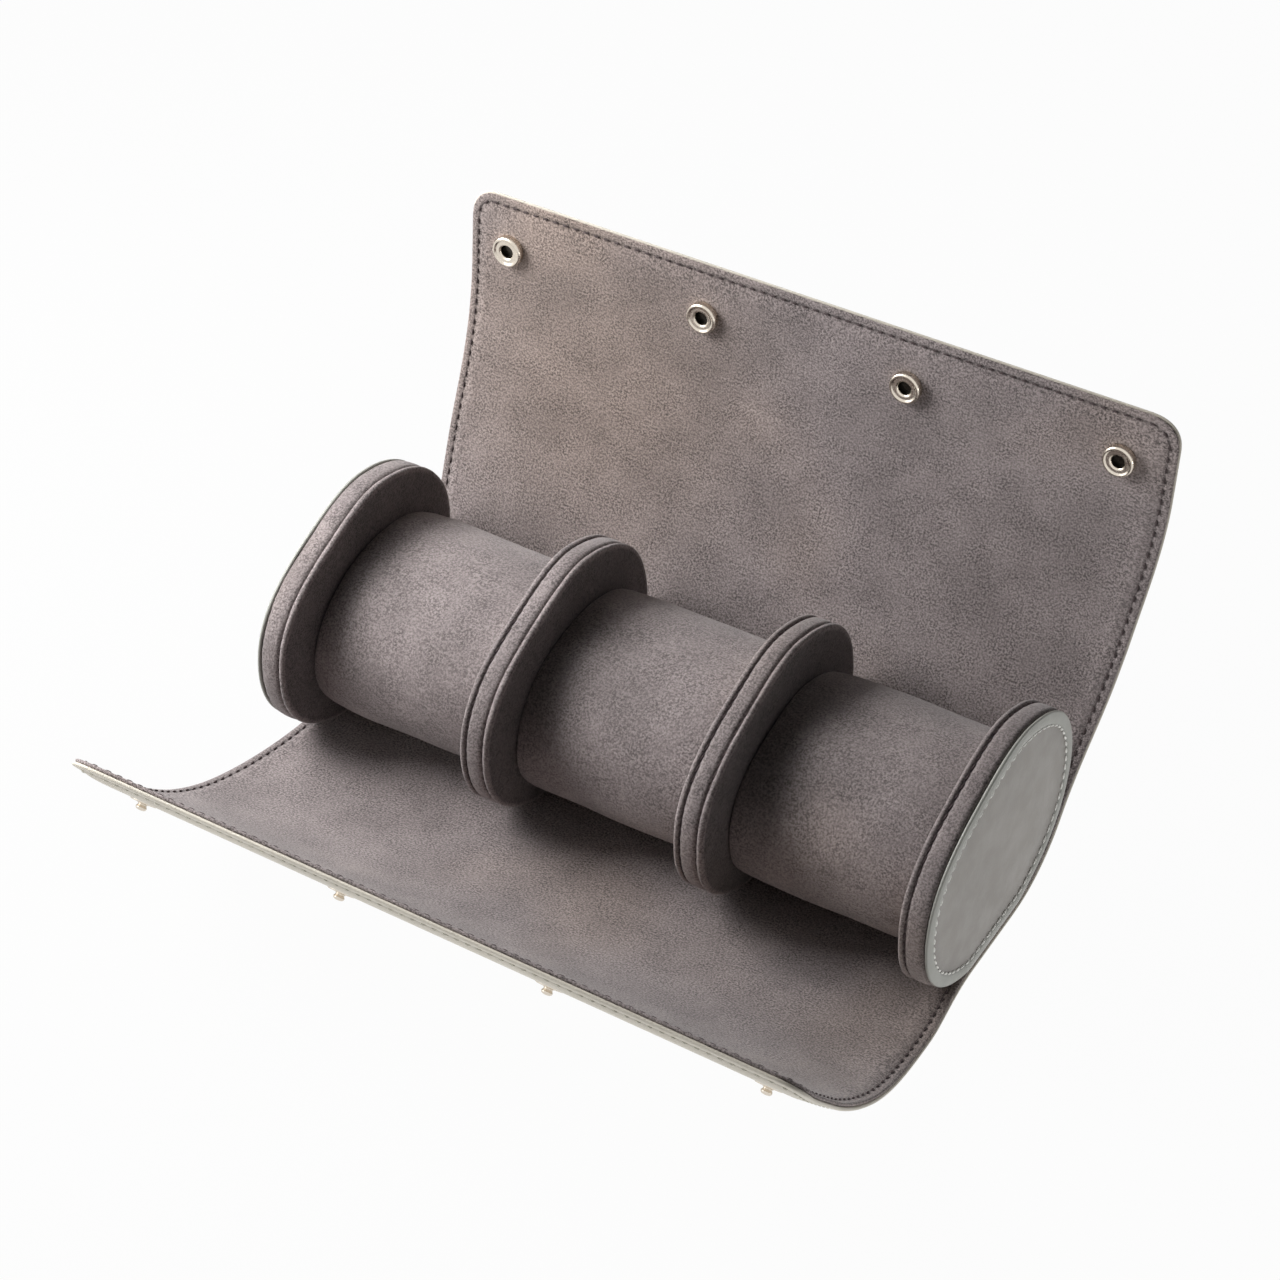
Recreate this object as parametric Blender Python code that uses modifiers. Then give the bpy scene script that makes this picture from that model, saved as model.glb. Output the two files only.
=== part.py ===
"""Triple watch roll, open: a leather and suede wrap round four padded dividers and three watch cushions.

The frame has +X along the roll, +Y towards the tall back flap and +Z up.  The origin is on the surface that
the roll stands on, under the middle of the dividers.  Each flap is a chain of short stretches of the wrap,
hinged on the face of its lining, because the wrap bends all along its length.
"""

import math

import bmesh
import bpy
from mathutils import Vector

MM = 0.001

# Wrap
WRAP_LENGTH = 203.0 * MM
LEATHER_THICKNESS = 1.4 * MM
LINING_THICKNESS = 1.1 * MM
LINING_INSET = 0.6 * MM
CORNER_RADIUS = 7.0 * MM

# Clearances between neighbours
PIECE_GAP = 0.3 * MM
HINGE_GAP = 0.3 * MM
HINGE_RELIEF_ANGLE = math.radians(5.0)

# Dividers
DIVIDER_COUNT = 4
ROW_END_INSET = 3.2 * MM
DIVIDER_HALF_WIDTH = 40.2 * MM
DIVIDER_HALF_HEIGHT = 33.2 * MM
DIVIDER_THICKNESS = 8.4 * MM
DIVIDER_FOOT_CUT = 1.8 * MM
DIVIDER_SKIN = 1.0 * MM
DIVIDER_RIM_FOLD = 2.0 * MM
CAP_LEATHER_THICKNESS = 1.6 * MM
CAP_LEATHER_INSET = 0.3 * MM
EDGE_ROUNDING = 0.7 * MM

# Watch cushions
CUSHION_HALF_WIDTH = 31.5 * MM
CUSHION_HALF_HEIGHT = 24.0 * MM
CUSHION_BACK_SHIFT = 3.5 * MM
CUSHION_LIFT = 1.5 * MM
CUSHION_SKIN = 1.2 * MM
CUSHION_DRAW_IN = 1.6 * MM

# Back flap and front flap: the stretch next to the base first, then the free edge's flat stretch
BACK_STRETCH = 21.2 * MM
BACK_EDGE_STRETCH = 25.0 * MM
BACK_BENDS = (2.0, 5.0, 8.0, 13.0)
BACK_KINKS = (0.0, 0.0, 0.0, 0.0, 1.0)
FRONT_STRETCH = 21.3 * MM
FRONT_EDGE_STRETCH = 30.0 * MM
FRONT_BENDS = (5.0, 10.0, 18.0, 14.0)
FRONT_KINKS = (4.0, 0.0, 0.0, 0.0, 0.0)

# Snap fasteners
SNAP_COUNT = 4
SNAP_END_INSET = 12.3 * MM
SOCKET_EDGE_INSET = 14.0 * MM
SOCKET_RADIUS = 4.4 * MM
SOCKET_HEIGHT = 2.3 * MM
SOCKET_BORE_RADIUS = 1.95 * MM
SOCKET_BORE_DEPTH = 2.4 * MM
SOCKET_SHOULDER = 0.6 * MM
SOCKET_BARREL_RADIUS = 2.6 * MM
SOCKET_FLANGE_RADIUS = 3.8 * MM
SOCKET_FLANGE_THICKNESS = 0.7 * MM
STUD_EDGE_INSET = 19.0 * MM
STUD_PLATE_RADIUS = 3.6 * MM
STUD_PLATE_TOP = 0.8 * MM
STUD_NECK_RADIUS = 1.25 * MM
STUD_BALL_RADIUS = 1.6 * MM
STUD_HEIGHT = 3.1 * MM
STUD_FLANGE_RADIUS = 3.2 * MM
STUD_FLANGE_THICKNESS = 0.6 * MM

# Shape shares and counts
OVAL_POWER = 2.1
DIVIDER_FLAT_SHARE = 0.09
DIVIDER_FLAT_ANGLE = 121.0
DIVIDER_FLAT_SPREAD = 50.0
BASE_FRONT_SHARE = 0.395
BASE_FLAT_BACK_SHARE = 0.296
BASE_CURL_RADIUS_SHARE = 0.745
BASE_CURL_ANGLE = 56.0
BALL_WIDTH_SHARES = (1.0, 0.75)
BALL_RISE_SHARES = (0.55, 0.9)
NECK_RISE_SHARE = 0.25
MERGE_SHARE = 0.03
MIDDLE_SHARE = 0.5
CUSHION_SKIN_RING_SHARES = (0.0, 0.06, 0.2, 0.8, 0.94, 1.0)
CUSHION_CORE_RING_SHARES = (0.0, 0.2, 0.8, 1.0)
CUSHION_CROWN_POWER = 5
OVAL_SIDES = 32
CURL_STEPS = 6
STRETCH_STEPS = 3
CORNER_STEPS = 3
TURNED_SIDES = 12
CUTTER_SIDES = 12

# Sizes worked out from the ones above
LEATHER_DEPTH = LINING_THICKNESS + PIECE_GAP
WRAP_THICKNESS = LEATHER_DEPTH + LEATHER_THICKNESS
HALF_LENGTH = WRAP_LENGTH / 2
ROW_HALF_LENGTH = HALF_LENGTH - ROW_END_INSET
DIVIDER_PITCH = (2 * ROW_HALF_LENGTH - DIVIDER_THICKNESS) / (DIVIDER_COUNT - 1)
DIVIDER_FOOT_HEIGHT = WRAP_THICKNESS + PIECE_GAP
DIVIDER_CENTRE_HEIGHT = DIVIDER_FOOT_HEIGHT + DIVIDER_HALF_HEIGHT - DIVIDER_FOOT_CUT
DIVIDER_FLAT_DEPTH = DIVIDER_HALF_HEIGHT * DIVIDER_FLAT_SHARE
CUSHION_LENGTH = DIVIDER_PITCH - DIVIDER_THICKNESS - 2 * PIECE_GAP
CUSHION_CENTRE_HEIGHT = WRAP_THICKNESS + CUSHION_LIFT + CUSHION_HALF_HEIGHT
BASE_FRONT = DIVIDER_HALF_WIDTH * BASE_FRONT_SHARE
BASE_FLAT_BACK = DIVIDER_HALF_WIDTH * BASE_FLAT_BACK_SHARE
BASE_CURL_RADIUS = DIVIDER_HALF_WIDTH * BASE_CURL_RADIUS_SHARE
SNAP_PITCH = (WRAP_LENGTH - 2 * SNAP_END_INSET) / (SNAP_COUNT - 1)

MERGE_DISTANCE = PIECE_GAP * MERGE_SHARE

# Turns a piece drawn in its own XY plane so that its X runs along the wrap, its Y up and its Z along the roll
ACROSS_THE_ROLL = (math.pi / 2, 0.0, math.pi / 2)

SUEDE = {"color": (0.216, 0.181, 0.178, 1.0), "roughness": 0.95, "metallic": 0.0}
LEATHER = {"color": (0.402, 0.396, 0.371, 1.0), "roughness": 0.5, "metallic": 0.0}
BOARD = {"color": (0.48, 0.43, 0.36, 1.0), "roughness": 0.9, "metallic": 0.0}
FOAM = {"color": (0.75, 0.74, 0.70, 1.0), "roughness": 0.95, "metallic": 0.0}
NICKEL = {"color": (0.72, 0.68, 0.62, 1.0), "roughness": 0.25, "metallic": 1.0}


def clear_scene():
    for item in list(bpy.data.objects):
        bpy.data.objects.remove(item, do_unlink=True)


def new_collection(name):
    collection = bpy.data.collections.new(name)
    bpy.context.scene.collection.children.link(collection)
    return collection


def add_material(item, finish):
    """Gives an object its own Principled material."""
    material = bpy.data.materials.new(item.name + "_finish")
    material.use_nodes = True
    shader = material.node_tree.nodes["Principled BSDF"]
    shader.inputs["Base Color"].default_value = finish["color"]
    shader.inputs["Roughness"].default_value = finish["roughness"]
    shader.inputs["Metallic"].default_value = finish["metallic"]
    item.data.materials.append(material)


def add_object(name, data, collection, finish, parent, location=(0.0, 0.0, 0.0), rotation=(0.0, 0.0, 0.0)):
    """Links a mesh or a curve as a named, coloured and placed object."""
    item = bpy.data.objects.new(name, data)
    collection.objects.link(item)
    item.parent = parent
    item.location = location
    item.rotation_euler = rotation
    if finish is not None:
        add_material(item, finish)
    return item


def add_empty(name, collection, parent, location, rotation):
    """Adds an empty that carries the pieces of one body, on that body's hinge line."""
    empty = bpy.data.objects.new(name, None)
    collection.objects.link(empty)
    empty.parent = parent
    empty.location = location
    empty.rotation_euler = rotation
    return empty


def outline_curve(name, points, half_depth):
    """Makes a filled flat outline in the XY plane, extruded both ways along Z."""
    curve = bpy.data.curves.new(name, "CURVE")
    curve.dimensions = "2D"
    curve.fill_mode = "BOTH"
    curve.extrude = half_depth
    spline = curve.splines.new("POLY")
    spline.points.add(len(points) - 1)
    for point, (x, y) in zip(spline.points, points):
        point.co = (x, y, 0.0, 1.0)
    spline.use_cyclic_u = True
    return curve


def curve_to_mesh(item, collection):
    """Swaps a curve object for a mesh object with welded caps, in the same place and under the same name."""
    bpy.context.view_layer.update()
    evaluated = item.evaluated_get(bpy.context.evaluated_depsgraph_get())
    mesh = bpy.data.meshes.new_from_object(evaluated)
    build = bmesh.new()
    build.from_mesh(mesh)
    bmesh.ops.remove_doubles(build, verts=build.verts, dist=MERGE_DISTANCE)
    bmesh.ops.recalc_face_normals(build, faces=build.faces)
    build.to_mesh(mesh)
    build.free()
    name = item.name
    parent = item.parent
    location = item.location.copy()
    rotation = item.rotation_euler.copy()
    bpy.data.objects.remove(item, do_unlink=True)
    return add_object(name, mesh, collection, None, parent, location, rotation)


def add_wall(item, thickness):
    """Thickens an open surface inwards."""
    wall = item.modifiers.new("wall", "SOLIDIFY")
    wall.thickness = thickness
    wall.offset = -1.0
    wall.use_even_offset = True


def shade_round(mesh):
    mesh.shade_smooth()
    mesh.set_sharp_from_angle(angle=math.radians(40.0))


def path_point(path, along, depth):
    """Returns the point at a distance along the lining's face and a depth below it.

    The path is a list of (length, bend in degrees) stretches, from the origin along +X, that curl up
    towards +Y.
    """
    x = 0.0
    y = 0.0
    angle = 0.0
    for index, (length, bend) in enumerate(path):
        last = index == len(path) - 1
        part = along if last else min(along, length)
        turn = math.radians(bend) * part / length
        chord = part
        if abs(turn) > 0.0:
            chord = 2 * part / turn * math.sin(turn / 2)
        x += chord * math.cos(angle + turn / 2)
        y += chord * math.sin(angle + turn / 2)
        angle += turn
        along -= part
        if along <= 0.0 and not last:
            break
    return x + depth * math.sin(angle), y - depth * math.cos(angle), angle


def hinge_margin(depth):
    """Returns how far a stretch stops short of its hinge line, which grows with depth so that it can flatten."""
    return HINGE_GAP / 2 + depth * math.tan(HINGE_RELIEF_ANGLE)


def path_stations(path, steps):
    """Returns the distances along a path where its outline has a point, ends left out."""
    stations = []
    start = 0.0
    for index, (length, bend) in enumerate(path):
        count = steps if bend else 1
        stations += [start + length * step / count for step in range(1, count)]
        start += length
        if index < len(path) - 1:
            stations.append(start)
    return stations


def layer_outline(path, top, bottom, steps):
    """Returns the cross-section of one layer of the wrap along a path, between two depths."""
    total = sum(length for length, bend in path)
    inner = path_stations(path, steps)
    upper = [hinge_margin(top)] + inner + [total - hinge_margin(top)]
    lower = [hinge_margin(bottom)] + inner + [total - hinge_margin(bottom)]
    points = [path_point(path, along, top)[:2] for along in upper]
    points += [path_point(path, along, bottom)[:2] for along in reversed(lower)]
    return points


def add_curled_layers(prefix, suffix, path, steps, parent, parts):
    """Adds the lining and the leather of one stretch of the wrap."""
    lining = outline_curve(prefix + "_lining" + suffix, layer_outline(path, 0.0, LINING_THICKNESS, steps),
                           HALF_LENGTH - LINING_INSET)
    add_object(lining.name, lining, parts, SUEDE, parent, rotation=ACROSS_THE_ROLL)
    leather = outline_curve(prefix + "_leather" + suffix,
                            layer_outline(path, LEATHER_DEPTH, WRAP_THICKNESS, steps), HALF_LENGTH)
    add_object(leather.name, leather, parts, LEATHER, parent, rotation=ACROSS_THE_ROLL)


def edge_outline(length, inset, margin):
    """Returns the plan of a flap's flat end, with its two free corners rounded."""
    half = HALF_LENGTH - inset
    far = length - inset
    radius = CORNER_RADIUS - inset
    points = [(-half, margin), (half, margin)]
    for centre_x, start in ((half - radius, 0.0), (radius - half, math.pi / 2)):
        for step in range(CORNER_STEPS + 1):
            angle = start + math.pi / 2 * step / CORNER_STEPS
            points.append((centre_x + radius * math.cos(angle), far - radius + radius * math.sin(angle)))
    return points


def snap_places():
    first = -SNAP_PITCH * (SNAP_COUNT - 1) / 2
    return [first + SNAP_PITCH * index for index in range(SNAP_COUNT)]


def drill(item, name, along, radius, top, bottom, cutters):
    """Cuts a row of round holes or pockets, one at each snap, between two heights of a flat flap end."""
    build = bmesh.new()
    for x in snap_places():
        made = bmesh.ops.create_cone(build, cap_ends=True, segments=CUTTER_SIDES, radius1=radius,
                                     radius2=radius, depth=top - bottom)
        bmesh.ops.translate(build, verts=made["verts"], vec=(x, along, (top + bottom) / 2))
    mesh = bpy.data.meshes.new(name)
    build.to_mesh(mesh)
    build.free()
    cutter = add_object(name, mesh, cutters, None, item.parent)
    cutter.hide_render = True
    cutter.display_type = "WIRE"
    cut = item.modifiers.new(name, "BOOLEAN")
    cut.operation = "DIFFERENCE"
    cut.solver = "EXACT"
    cut.object = cutter


def add_edge_layer(name, length, top, bottom, inset, finish, parent, parts):
    """Adds one layer of a flap's flat end, as a mesh that can be cut."""
    outline = outline_curve(name, edge_outline(length, inset, hinge_margin(bottom)), (bottom - top) / 2)
    item = add_object(name, outline, parts, None, parent, location=(0.0, 0.0, -(top + bottom) / 2))
    item = curve_to_mesh(item, parts)
    add_material(item, finish)
    return item


def add_back_edge(parent, parts, cutters):
    """Adds the back flap's flat end, drilled and pocketed for the sockets."""
    number = len(BACK_BENDS) + 1
    along = BACK_EDGE_STRETCH - SOCKET_EDGE_INSET
    lining = add_edge_layer(f"back_flap_lining_{number}", BACK_EDGE_STRETCH, 0.0, LINING_THICKNESS,
                            LINING_INSET, SUEDE, parent, parts)
    drill(lining, "socket_holes", along, SOCKET_BARREL_RADIUS + PIECE_GAP, PIECE_GAP, -LEATHER_DEPTH,
          cutters)
    leather = add_edge_layer(f"back_flap_leather_{number}", BACK_EDGE_STRETCH, LEATHER_DEPTH, WRAP_THICKNESS,
                             0.0, LEATHER, parent, parts)
    drill(leather, "socket_pockets", along, SOCKET_FLANGE_RADIUS + PIECE_GAP, 0.0,
          -LEATHER_DEPTH - SOCKET_FLANGE_THICKNESS - PIECE_GAP, cutters)
    for index, x in enumerate(snap_places(), start=1):
        add_turned(f"snap_socket_{index}", socket_profile(), parent, parts, (x, along, 0.0), (0.0, 0.0, 0.0))


def add_front_edge(parent, parts, cutters):
    """Adds the front flap's flat end, drilled and pocketed for the studs."""
    number = len(FRONT_BENDS) + 1
    along = FRONT_EDGE_STRETCH - STUD_EDGE_INSET
    add_edge_layer(f"front_flap_lining_{number}", FRONT_EDGE_STRETCH, 0.0, LINING_THICKNESS, LINING_INSET,
                   SUEDE, parent, parts)
    leather = add_edge_layer(f"front_flap_leather_{number}", FRONT_EDGE_STRETCH, LEATHER_DEPTH,
                             WRAP_THICKNESS, 0.0, LEATHER, parent, parts)
    drill(leather, "stud_holes", along, STUD_NECK_RADIUS + PIECE_GAP, 0.0, -WRAP_THICKNESS - PIECE_GAP,
          cutters)
    drill(leather, "stud_pockets", along, STUD_FLANGE_RADIUS + PIECE_GAP, 0.0,
          -LEATHER_DEPTH - STUD_FLANGE_THICKNESS - PIECE_GAP, cutters)
    for index, x in enumerate(snap_places(), start=1):
        add_turned(f"snap_stud_{SNAP_COUNT + 1 - index}", stud_profile(), parent, parts,
                   (x, along, -WRAP_THICKNESS), (math.pi, 0.0, 0.0))


def socket_profile():
    """Returns the socket's half section, from the bore's floor round to the pressed flange behind the lining."""
    flange_top = -LEATHER_DEPTH
    flange_bottom = flange_top - SOCKET_FLANGE_THICKNESS
    bore_floor = SOCKET_HEIGHT - SOCKET_BORE_DEPTH
    return [
        (0.0, bore_floor),
        (SOCKET_BORE_RADIUS, bore_floor),
        (SOCKET_BORE_RADIUS, SOCKET_HEIGHT),
        (SOCKET_RADIUS - SOCKET_SHOULDER, SOCKET_HEIGHT),
        (SOCKET_RADIUS, SOCKET_HEIGHT - SOCKET_SHOULDER),
        (SOCKET_RADIUS, PIECE_GAP),
        (SOCKET_BARREL_RADIUS, PIECE_GAP),
        (SOCKET_BARREL_RADIUS, flange_top),
        (SOCKET_FLANGE_RADIUS, flange_top),
        (SOCKET_FLANGE_RADIUS, flange_bottom),
        (0.0, flange_bottom),
    ]


def stud_profile():
    """Returns the stud's half section, from the top of its ball to the pressed flange behind the leather."""
    flange_bottom = -LEATHER_THICKNESS
    flange_top = flange_bottom + STUD_FLANGE_THICKNESS
    rise = STUD_HEIGHT - STUD_PLATE_TOP
    ball = [(STUD_BALL_RADIUS * width, STUD_PLATE_TOP + rise * share)
            for width, share in zip(BALL_WIDTH_SHARES, BALL_RISE_SHARES)]
    return [(0.0, STUD_HEIGHT)] + ball[::-1] + [
        (STUD_NECK_RADIUS, STUD_PLATE_TOP + rise * NECK_RISE_SHARE),
        (STUD_NECK_RADIUS, STUD_PLATE_TOP),
        (STUD_PLATE_RADIUS, STUD_PLATE_TOP),
        (STUD_PLATE_RADIUS, PIECE_GAP),
        (STUD_NECK_RADIUS, PIECE_GAP),
        (STUD_NECK_RADIUS, flange_top),
        (STUD_FLANGE_RADIUS, flange_top),
        (STUD_FLANGE_RADIUS, flange_bottom),
        (0.0, flange_bottom),
    ]


def add_turned(name, profile, parent, parts, location, rotation):
    """Turns a half section round its own Z axis."""
    mesh = bpy.data.meshes.new(name)
    edges = [(index, index + 1) for index in range(len(profile) - 1)]
    mesh.from_pydata([(radius, 0.0, height) for radius, height in profile], edges, [])
    item = add_object(name, mesh, parts, NICKEL, parent, location, rotation)
    screw = item.modifiers.new("turned", "SCREW")
    screw.axis = "Z"
    screw.angle = 2 * math.pi
    screw.steps = TURNED_SIDES
    screw.render_steps = TURNED_SIDES
    screw.use_merge_vertices = True
    screw.merge_threshold = MERGE_DISTANCE


def add_flap(side, origin, turn, stretch, edge_stretch, bends, kinks, start_angle, parts):
    """Adds a flap's chain of hinged stretches and returns the empty that carries its flat end.

    Each stretch's empty is on its hinge line and hangs from the empty before it.
    """
    carrier = add_empty(f"{side}_flap_root", parts, None, origin, (0.0, 0.0, turn))
    along = 0.0
    height = 0.0
    angle = math.radians(start_angle)
    for index, kink in enumerate(kinks, start=1):
        carrier = add_empty(f"{side}_flap_hinge_{index}", parts, carrier, (0.0, along, height),
                            (angle + math.radians(kink), 0.0, 0.0))
        if index <= len(bends):
            path = [(stretch, bends[index - 1])]
            add_curled_layers(f"{side}_flap", f"_{index}", path, STRETCH_STEPS, carrier, parts)
            along, height, angle = path_point(path, stretch, 0.0)
    return carrier


def add_base(parts):
    """Adds the part of the wrap that the roll stands on, flat and then curled up behind the dividers."""
    curl = math.radians(BASE_CURL_ANGLE)
    path = [(BASE_FRONT + BASE_FLAT_BACK, 0.0), (BASE_CURL_RADIUS * curl, BASE_CURL_ANGLE)]
    carrier = add_empty("wrap_root", parts, None, (0.0, -BASE_FRONT, WRAP_THICKNESS), (0.0, 0.0, 0.0))
    add_curled_layers("wrap", "_base", path, CURL_STEPS, carrier, parts)
    total = sum(length for length, bend in path)
    return path_point(path, total, 0.0)


def oval_points(half_width, half_height, inset, foot_cut):
    """Returns a superellipse's points in the XY plane, with its lowest part cut flat where foot_cut says."""
    width = half_width - inset
    height = half_height - inset
    floor = inset + foot_cut - half_height
    points = []
    for index in range(OVAL_SIDES):
        angle = 2 * math.pi * index / OVAL_SIDES
        cosine = math.cos(angle)
        sine = math.sin(angle)
        x = math.copysign(abs(cosine) ** (2 / OVAL_POWER), cosine) * width
        y = math.copysign(abs(sine) ** (2 / OVAL_POWER), sine) * height
        points.append((x, max(y, floor)))
    return points


def flatten_front_top(x, y):
    """Draws an outline's point in where the divider's upper front is flatter than an oval."""
    off = abs(math.degrees(math.atan2(y, x)) - DIVIDER_FLAT_ANGLE)
    if off >= DIVIDER_FLAT_SPREAD:
        return x, y
    depth = DIVIDER_FLAT_DEPTH * math.cos(math.pi / 2 * off / DIVIDER_FLAT_SPREAD) ** 2
    share = 1 - depth / math.hypot(x, y)
    return x * share, y * share


def divider_points(inset):
    oval = oval_points(DIVIDER_HALF_WIDTH, DIVIDER_HALF_HEIGHT, inset, DIVIDER_FOOT_CUT)
    return [flatten_front_top(x, y) for x, y in oval]


def cushion_points(inset):
    return oval_points(CUSHION_HALF_WIDTH, CUSHION_HALF_HEIGHT, inset, 0.0)


def loft(name, rings, cap_start, cap_end):
    """Joins outlines at rising heights into a skin, open or capped at each end."""
    build = bmesh.new()
    loops = []
    for points, height in rings:
        loops.append([build.verts.new((x, y, height)) for x, y in points])
    for loop in loops:
        for index, vertex in enumerate(loop):
            build.edges.new((vertex, loop[index - 1]))
    for lower, upper in zip(loops, loops[1:]):
        ring_edges = [edge for edge in build.edges
                      if all(vertex in lower for vertex in edge.verts)
                      or all(vertex in upper for vertex in edge.verts)]
        bmesh.ops.bridge_loops(build, edges=ring_edges)
    if cap_start:
        build.faces.new(loops[0])
    if cap_end:
        build.faces.new(loops[-1])
    bmesh.ops.recalc_face_normals(build, faces=build.faces)
    mesh = bpy.data.meshes.new(name)
    build.to_mesh(mesh)
    build.free()
    shade_round(mesh)
    return mesh


def add_divider_face(name, x, facing, parent, parts):
    """Adds a suede face whose rim folds over the divider's edge, facing +X or -X."""
    outline = divider_points(0.0)
    rings = [(divider_points(EDGE_ROUNDING), 0.0), (outline, -facing * EDGE_ROUNDING),
             (outline, -facing * DIVIDER_RIM_FOLD)]
    mesh = loft(name, rings, True, False)
    face_outwards(mesh, facing)
    item = add_object(name, mesh, parts, SUEDE, parent, (x, 0.0, 0.0), ACROSS_THE_ROLL)
    add_wall(item, DIVIDER_SKIN)


def face_outwards(mesh, facing):
    """Turns an open cup's skin round if its cap points away from the side that it faces."""
    cap = max(mesh.polygons, key=lambda polygon: polygon.area)
    if cap.normal.z * facing < 0.0:
        mesh.flip_normals()


def add_oval_plate(name, outline, x_from, x_to, finish, parent, parts):
    """Adds a flat oval plate between two places along the roll."""
    mesh = loft(name, [(outline, x_from), (outline, x_to)], True, True)
    add_object(name, mesh, parts, finish, parent, rotation=ACROSS_THE_ROLL)


def add_end_cap(name, x, facing, parent, parts):
    """Adds the leather plate on an end divider's outer side, rounded at its outer edge."""
    outline = divider_points(CAP_LEATHER_INSET)
    rings = [(divider_points(CAP_LEATHER_INSET + EDGE_ROUNDING), x), (outline, x - facing * EDGE_ROUNDING),
             (outline, x - facing * CAP_LEATHER_THICKNESS)]
    add_object(name, loft(name, rings, True, True), parts, LEATHER, parent, rotation=ACROSS_THE_ROLL)


def add_band(name, x_from, x_to, parent, parts):
    """Adds the suede band round a divider's edge."""
    outline = divider_points(0.0)
    mesh = loft(name, [(outline, x_from), (outline, x_to)], False, False)
    item = add_object(name, mesh, parts, SUEDE, parent, rotation=ACROSS_THE_ROLL)
    add_wall(item, DIVIDER_SKIN)


def add_divider(index, parts):
    """Adds one divider: core, band and two faces, the outer one of leather at the ends of the roll."""
    left = -ROW_HALF_LENGTH + (index - 1) * DIVIDER_PITCH
    right = left + DIVIDER_THICKNESS
    prefix = f"divider_{index}"
    carrier = add_empty(prefix + "_centre", parts, None, (0.0, 0.0, DIVIDER_CENTRE_HEIGHT), (0.0, 0.0, 0.0))
    has_left_cap = index == 1
    has_right_cap = index == DIVIDER_COUNT
    band_left = left + DIVIDER_RIM_FOLD + PIECE_GAP
    band_right = right - DIVIDER_RIM_FOLD - PIECE_GAP
    core_left = left + DIVIDER_SKIN + PIECE_GAP
    core_right = right - DIVIDER_SKIN - PIECE_GAP
    if has_left_cap:
        core_left = left + CAP_LEATHER_THICKNESS + PIECE_GAP
        band_left = core_left
        add_end_cap("end_cap_leather_left", left, -1, carrier, parts)
    else:
        add_divider_face(prefix + "_left_face", left, -1, carrier, parts)
    if has_right_cap:
        core_right = right - CAP_LEATHER_THICKNESS - PIECE_GAP
        band_right = core_right
        add_end_cap("end_cap_leather_right", right, 1, carrier, parts)
    else:
        add_divider_face(prefix + "_right_face", right, 1, carrier, parts)
    add_band(prefix + "_band", band_left, band_right, carrier, parts)
    add_oval_plate(prefix + "_core", divider_points(DIVIDER_SKIN + PIECE_GAP), core_left, core_right, BOARD,
                   carrier, parts)


def crown_inset(share):
    """Returns how far a cushion's skin is drawn in at a share of its length."""
    return CUSHION_DRAW_IN * abs(2 * share - 1) ** CUSHION_CROWN_POWER


def cushion_rings(inset, end_margin, ring_shares):
    """Returns a cushion's outlines along its length, crowned, for a skin that lies inset from the outside."""
    length = CUSHION_LENGTH - 2 * end_margin
    rings = []
    for share in ring_shares:
        place = share * length - length / 2
        crown = crown_inset(place / CUSHION_LENGTH + MIDDLE_SHARE)
        rings.append((cushion_points(inset + crown), place))
    return rings


def add_cushion(index, parts):
    """Adds one watch cushion: a suede sleeve, two end discs and the foam inside."""
    centre = -ROW_HALF_LENGTH + DIVIDER_THICKNESS / 2 + (index - MIDDLE_SHARE) * DIVIDER_PITCH
    prefix = f"cushion_{index}"
    carrier = add_empty(prefix + "_centre", parts, None, (centre, CUSHION_BACK_SHIFT, CUSHION_CENTRE_HEIGHT),
                        (0.0, 0.0, 0.0))
    skin = loft(prefix + "_sleeve", cushion_rings(0.0, 0.0, CUSHION_SKIN_RING_SHARES), False, False)
    sleeve = add_object(prefix + "_sleeve", skin, parts, SUEDE, carrier, rotation=ACROSS_THE_ROLL)
    add_wall(sleeve, CUSHION_SKIN)
    end_outline = cushion_points(CUSHION_DRAW_IN + CUSHION_SKIN + PIECE_GAP)
    half = CUSHION_LENGTH / 2
    add_oval_plate(prefix + "_left_end", end_outline, -half, CUSHION_SKIN - half, SUEDE, carrier, parts)
    add_oval_plate(prefix + "_right_end", end_outline, half - CUSHION_SKIN, half, SUEDE, carrier, parts)
    inset = CUSHION_SKIN + PIECE_GAP
    core = loft(prefix + "_core", cushion_rings(inset, inset, CUSHION_CORE_RING_SHARES), True, True)
    add_object(prefix + "_core", core, parts, FOAM, carrier, rotation=ACROSS_THE_ROLL)


def build_watch_roll():
    clear_scene()
    parts = new_collection("watch_roll")
    cutters = new_collection("watch_roll_cutters")
    base_along, base_height, base_angle = add_base(parts)
    back_origin = Vector((0.0, base_along - BASE_FRONT, base_height + WRAP_THICKNESS))
    back_end = add_flap("back", back_origin, 0.0, BACK_STRETCH, BACK_EDGE_STRETCH, BACK_BENDS, BACK_KINKS,
                        math.degrees(base_angle), parts)
    add_back_edge(back_end, parts, cutters)
    front_origin = Vector((0.0, -BASE_FRONT, WRAP_THICKNESS))
    front_end = add_flap("front", front_origin, math.pi, FRONT_STRETCH, FRONT_EDGE_STRETCH, FRONT_BENDS,
                         FRONT_KINKS, 0.0, parts)
    add_front_edge(front_end, parts, cutters)
    for index in range(1, DIVIDER_COUNT + 1):
        add_divider(index, parts)
    for index in range(1, DIVIDER_COUNT):
        add_cushion(index, parts)
    bpy.context.view_layer.update()


build_watch_roll()
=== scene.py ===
"""The looks of an open watch roll: a lined leather wrap, four dividers, three cushions and four snaps."""

import logging
import math
from dataclasses import dataclass
from enum import Enum

import bmesh
import bpy
import numpy as np
from mathutils import Matrix, Vector, noise


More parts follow.
